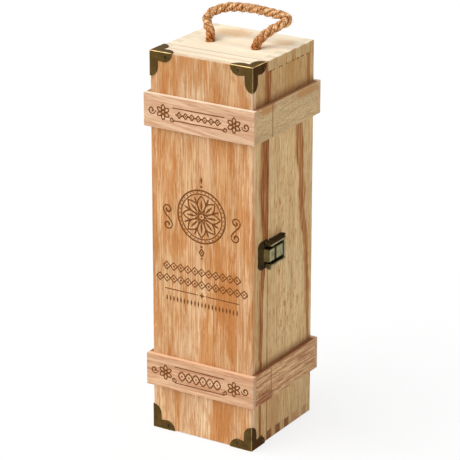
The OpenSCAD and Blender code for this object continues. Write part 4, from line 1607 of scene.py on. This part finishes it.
LOWER_BAND_SIDE_WOOD = wood(
    "lower band side wood", "deep, facing right", (0.69, 0.455, 0.240), (0.45, 0.215, 0.095),
    (0.20, 0.062, 0.020), end=(0.50, 0.32, 0.19), seed=17.2, figure=(60, 50, 3.4, 12, 4),
    amounts=(0, 0.35, 0.3, 0.42, 0.45), marks=lower_band_side_marks, ledge_light_and_shade=(0.30, 0.105, 0.038),
)
BRONZE = bronze("aged bronze", [
    (0.0, (0.098, 0.058, 0.017)), (0.5, (0.26, 0.19, 0.075)), (1.0, (0.80, 0.60, 0.28)),
], 0.42, (0.45, 0.36, 0.20), (0.56, 0.42, 0.20))
# The latch's bronze: polish from use, with painted highlights on its edges and painted light on its
# front faces.
WORN_AND_HIGHLIT_BRONZE = bronze("worn bronze", [
    (0.0, (0.040, 0.026, 0.009)), (0.25, (0.17, 0.125, 0.045)),
    (0.5, (0.29, 0.275, 0.165)), (1.0, (0.58, 0.44, 0.20)),
], 0.36, (0.45, 0.38, 0.24))
NAIL_BRONZE = bronze("dark nail bronze", [
    (0.0, (0.020, 0.014, 0.007)), (0.5, (0.11, 0.080, 0.038)), (1.0, (0.17, 0.125, 0.062)),
], 0.46, (0.40, 0.34, 0.22))
BURNT = mottled("burnt line", 700, 2, (0.125, 0.042, 0.010), (0.23, 0.085, 0.024))

for material, nodes in (
    (FRONT_WOOD, ["lid_front_panel"]),
    (LID_SIDE_WOOD, ["lid_left_side", "lid_right_side"]),
    (BASE_SIDE_WOOD, ["base_left_side", "base_right_side"]),
    (TOP_WOOD, ["lid_top_strip", "base_top_board"]),
    (BOTTOM_WOOD, ["lid_bottom_strip", "base_bottom_board"]),
    (BACK_WOOD, ["base_back_panel"]),
    (UPPER_BAND_WOOD, ["lid_upper_band_front", "base_upper_band_back"]),
    (LOWER_BAND_WOOD, ["lid_lower_band_front", "base_lower_band_back"]),
    (UPPER_BAND_SIDE_WOOD, [f"{body}_upper_band_{side}" for body in BODIES for _, side in SIDES]),
    (LOWER_BAND_SIDE_WOOD, [f"{body}_lower_band_{side}" for body in BODIES for _, side in SIDES]),
    (BRONZE, ["latch_pin", "upper_hinge_pin", "lower_hinge_pin"]),
):
    for node in nodes:
        coated(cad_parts[node].data, material)

# Metal that stands for nodes
for side, side_name in SIDES:
    for top, top_name in ((True, "top"), (False, "bottom")):
        guard_piece(side, top, f"guard_{top_name}_{side_name}_folded", BRONZE)
for node, body in (("latch_catch_plate", "lid"), ("latch_hinge_plate", "base")):
    edged_copy(node, body, "bronze", WORN_AND_HIGHLIT_BRONZE, latch_wear_and_light)
edged_copy("latch_hasp", "hasp", "worn_bronze", WORN_AND_HIGHLIT_BRONZE, latch_wear_and_light)
for level in ("upper", "lower"):
    for body in BODIES:
        edged_copy(f"{level}_hinge_{body}_leaf", body, "bronze", BRONZE)
nails = nail_tree()
for node, body in (
    ("guard_nails", "lid"), ("latch_catch_nails", "lid"), ("hinge_lid_nails", "lid"),
    ("latch_hinge_nails", "base"), ("hinge_base_nails", "base"),
):
    nails_for(node, body, nails, NAIL_BRONZE)

# Burnt ornament
burnt_lines = burnt_line_tree()
band_face_y = FRONT_Y - BAND_T
for name, strokes, middle_z in (
    ("upper_band_ornament", upper_band_ornament(), UPPER_BAND_Z),
    ("lower_band_ornament", lower_band_ornament(), LOWER_BAND_Z),
):
    burnt_ornament(name, strokes, middle_z, band_face_y, burnt_lines, BURNT, "band_wood")
burnt_ornament("panel_ornament", panel_ornament(), 0, FRONT_Y, burnt_lines, BURNT, "front_wood")

add_floor()
add_light()
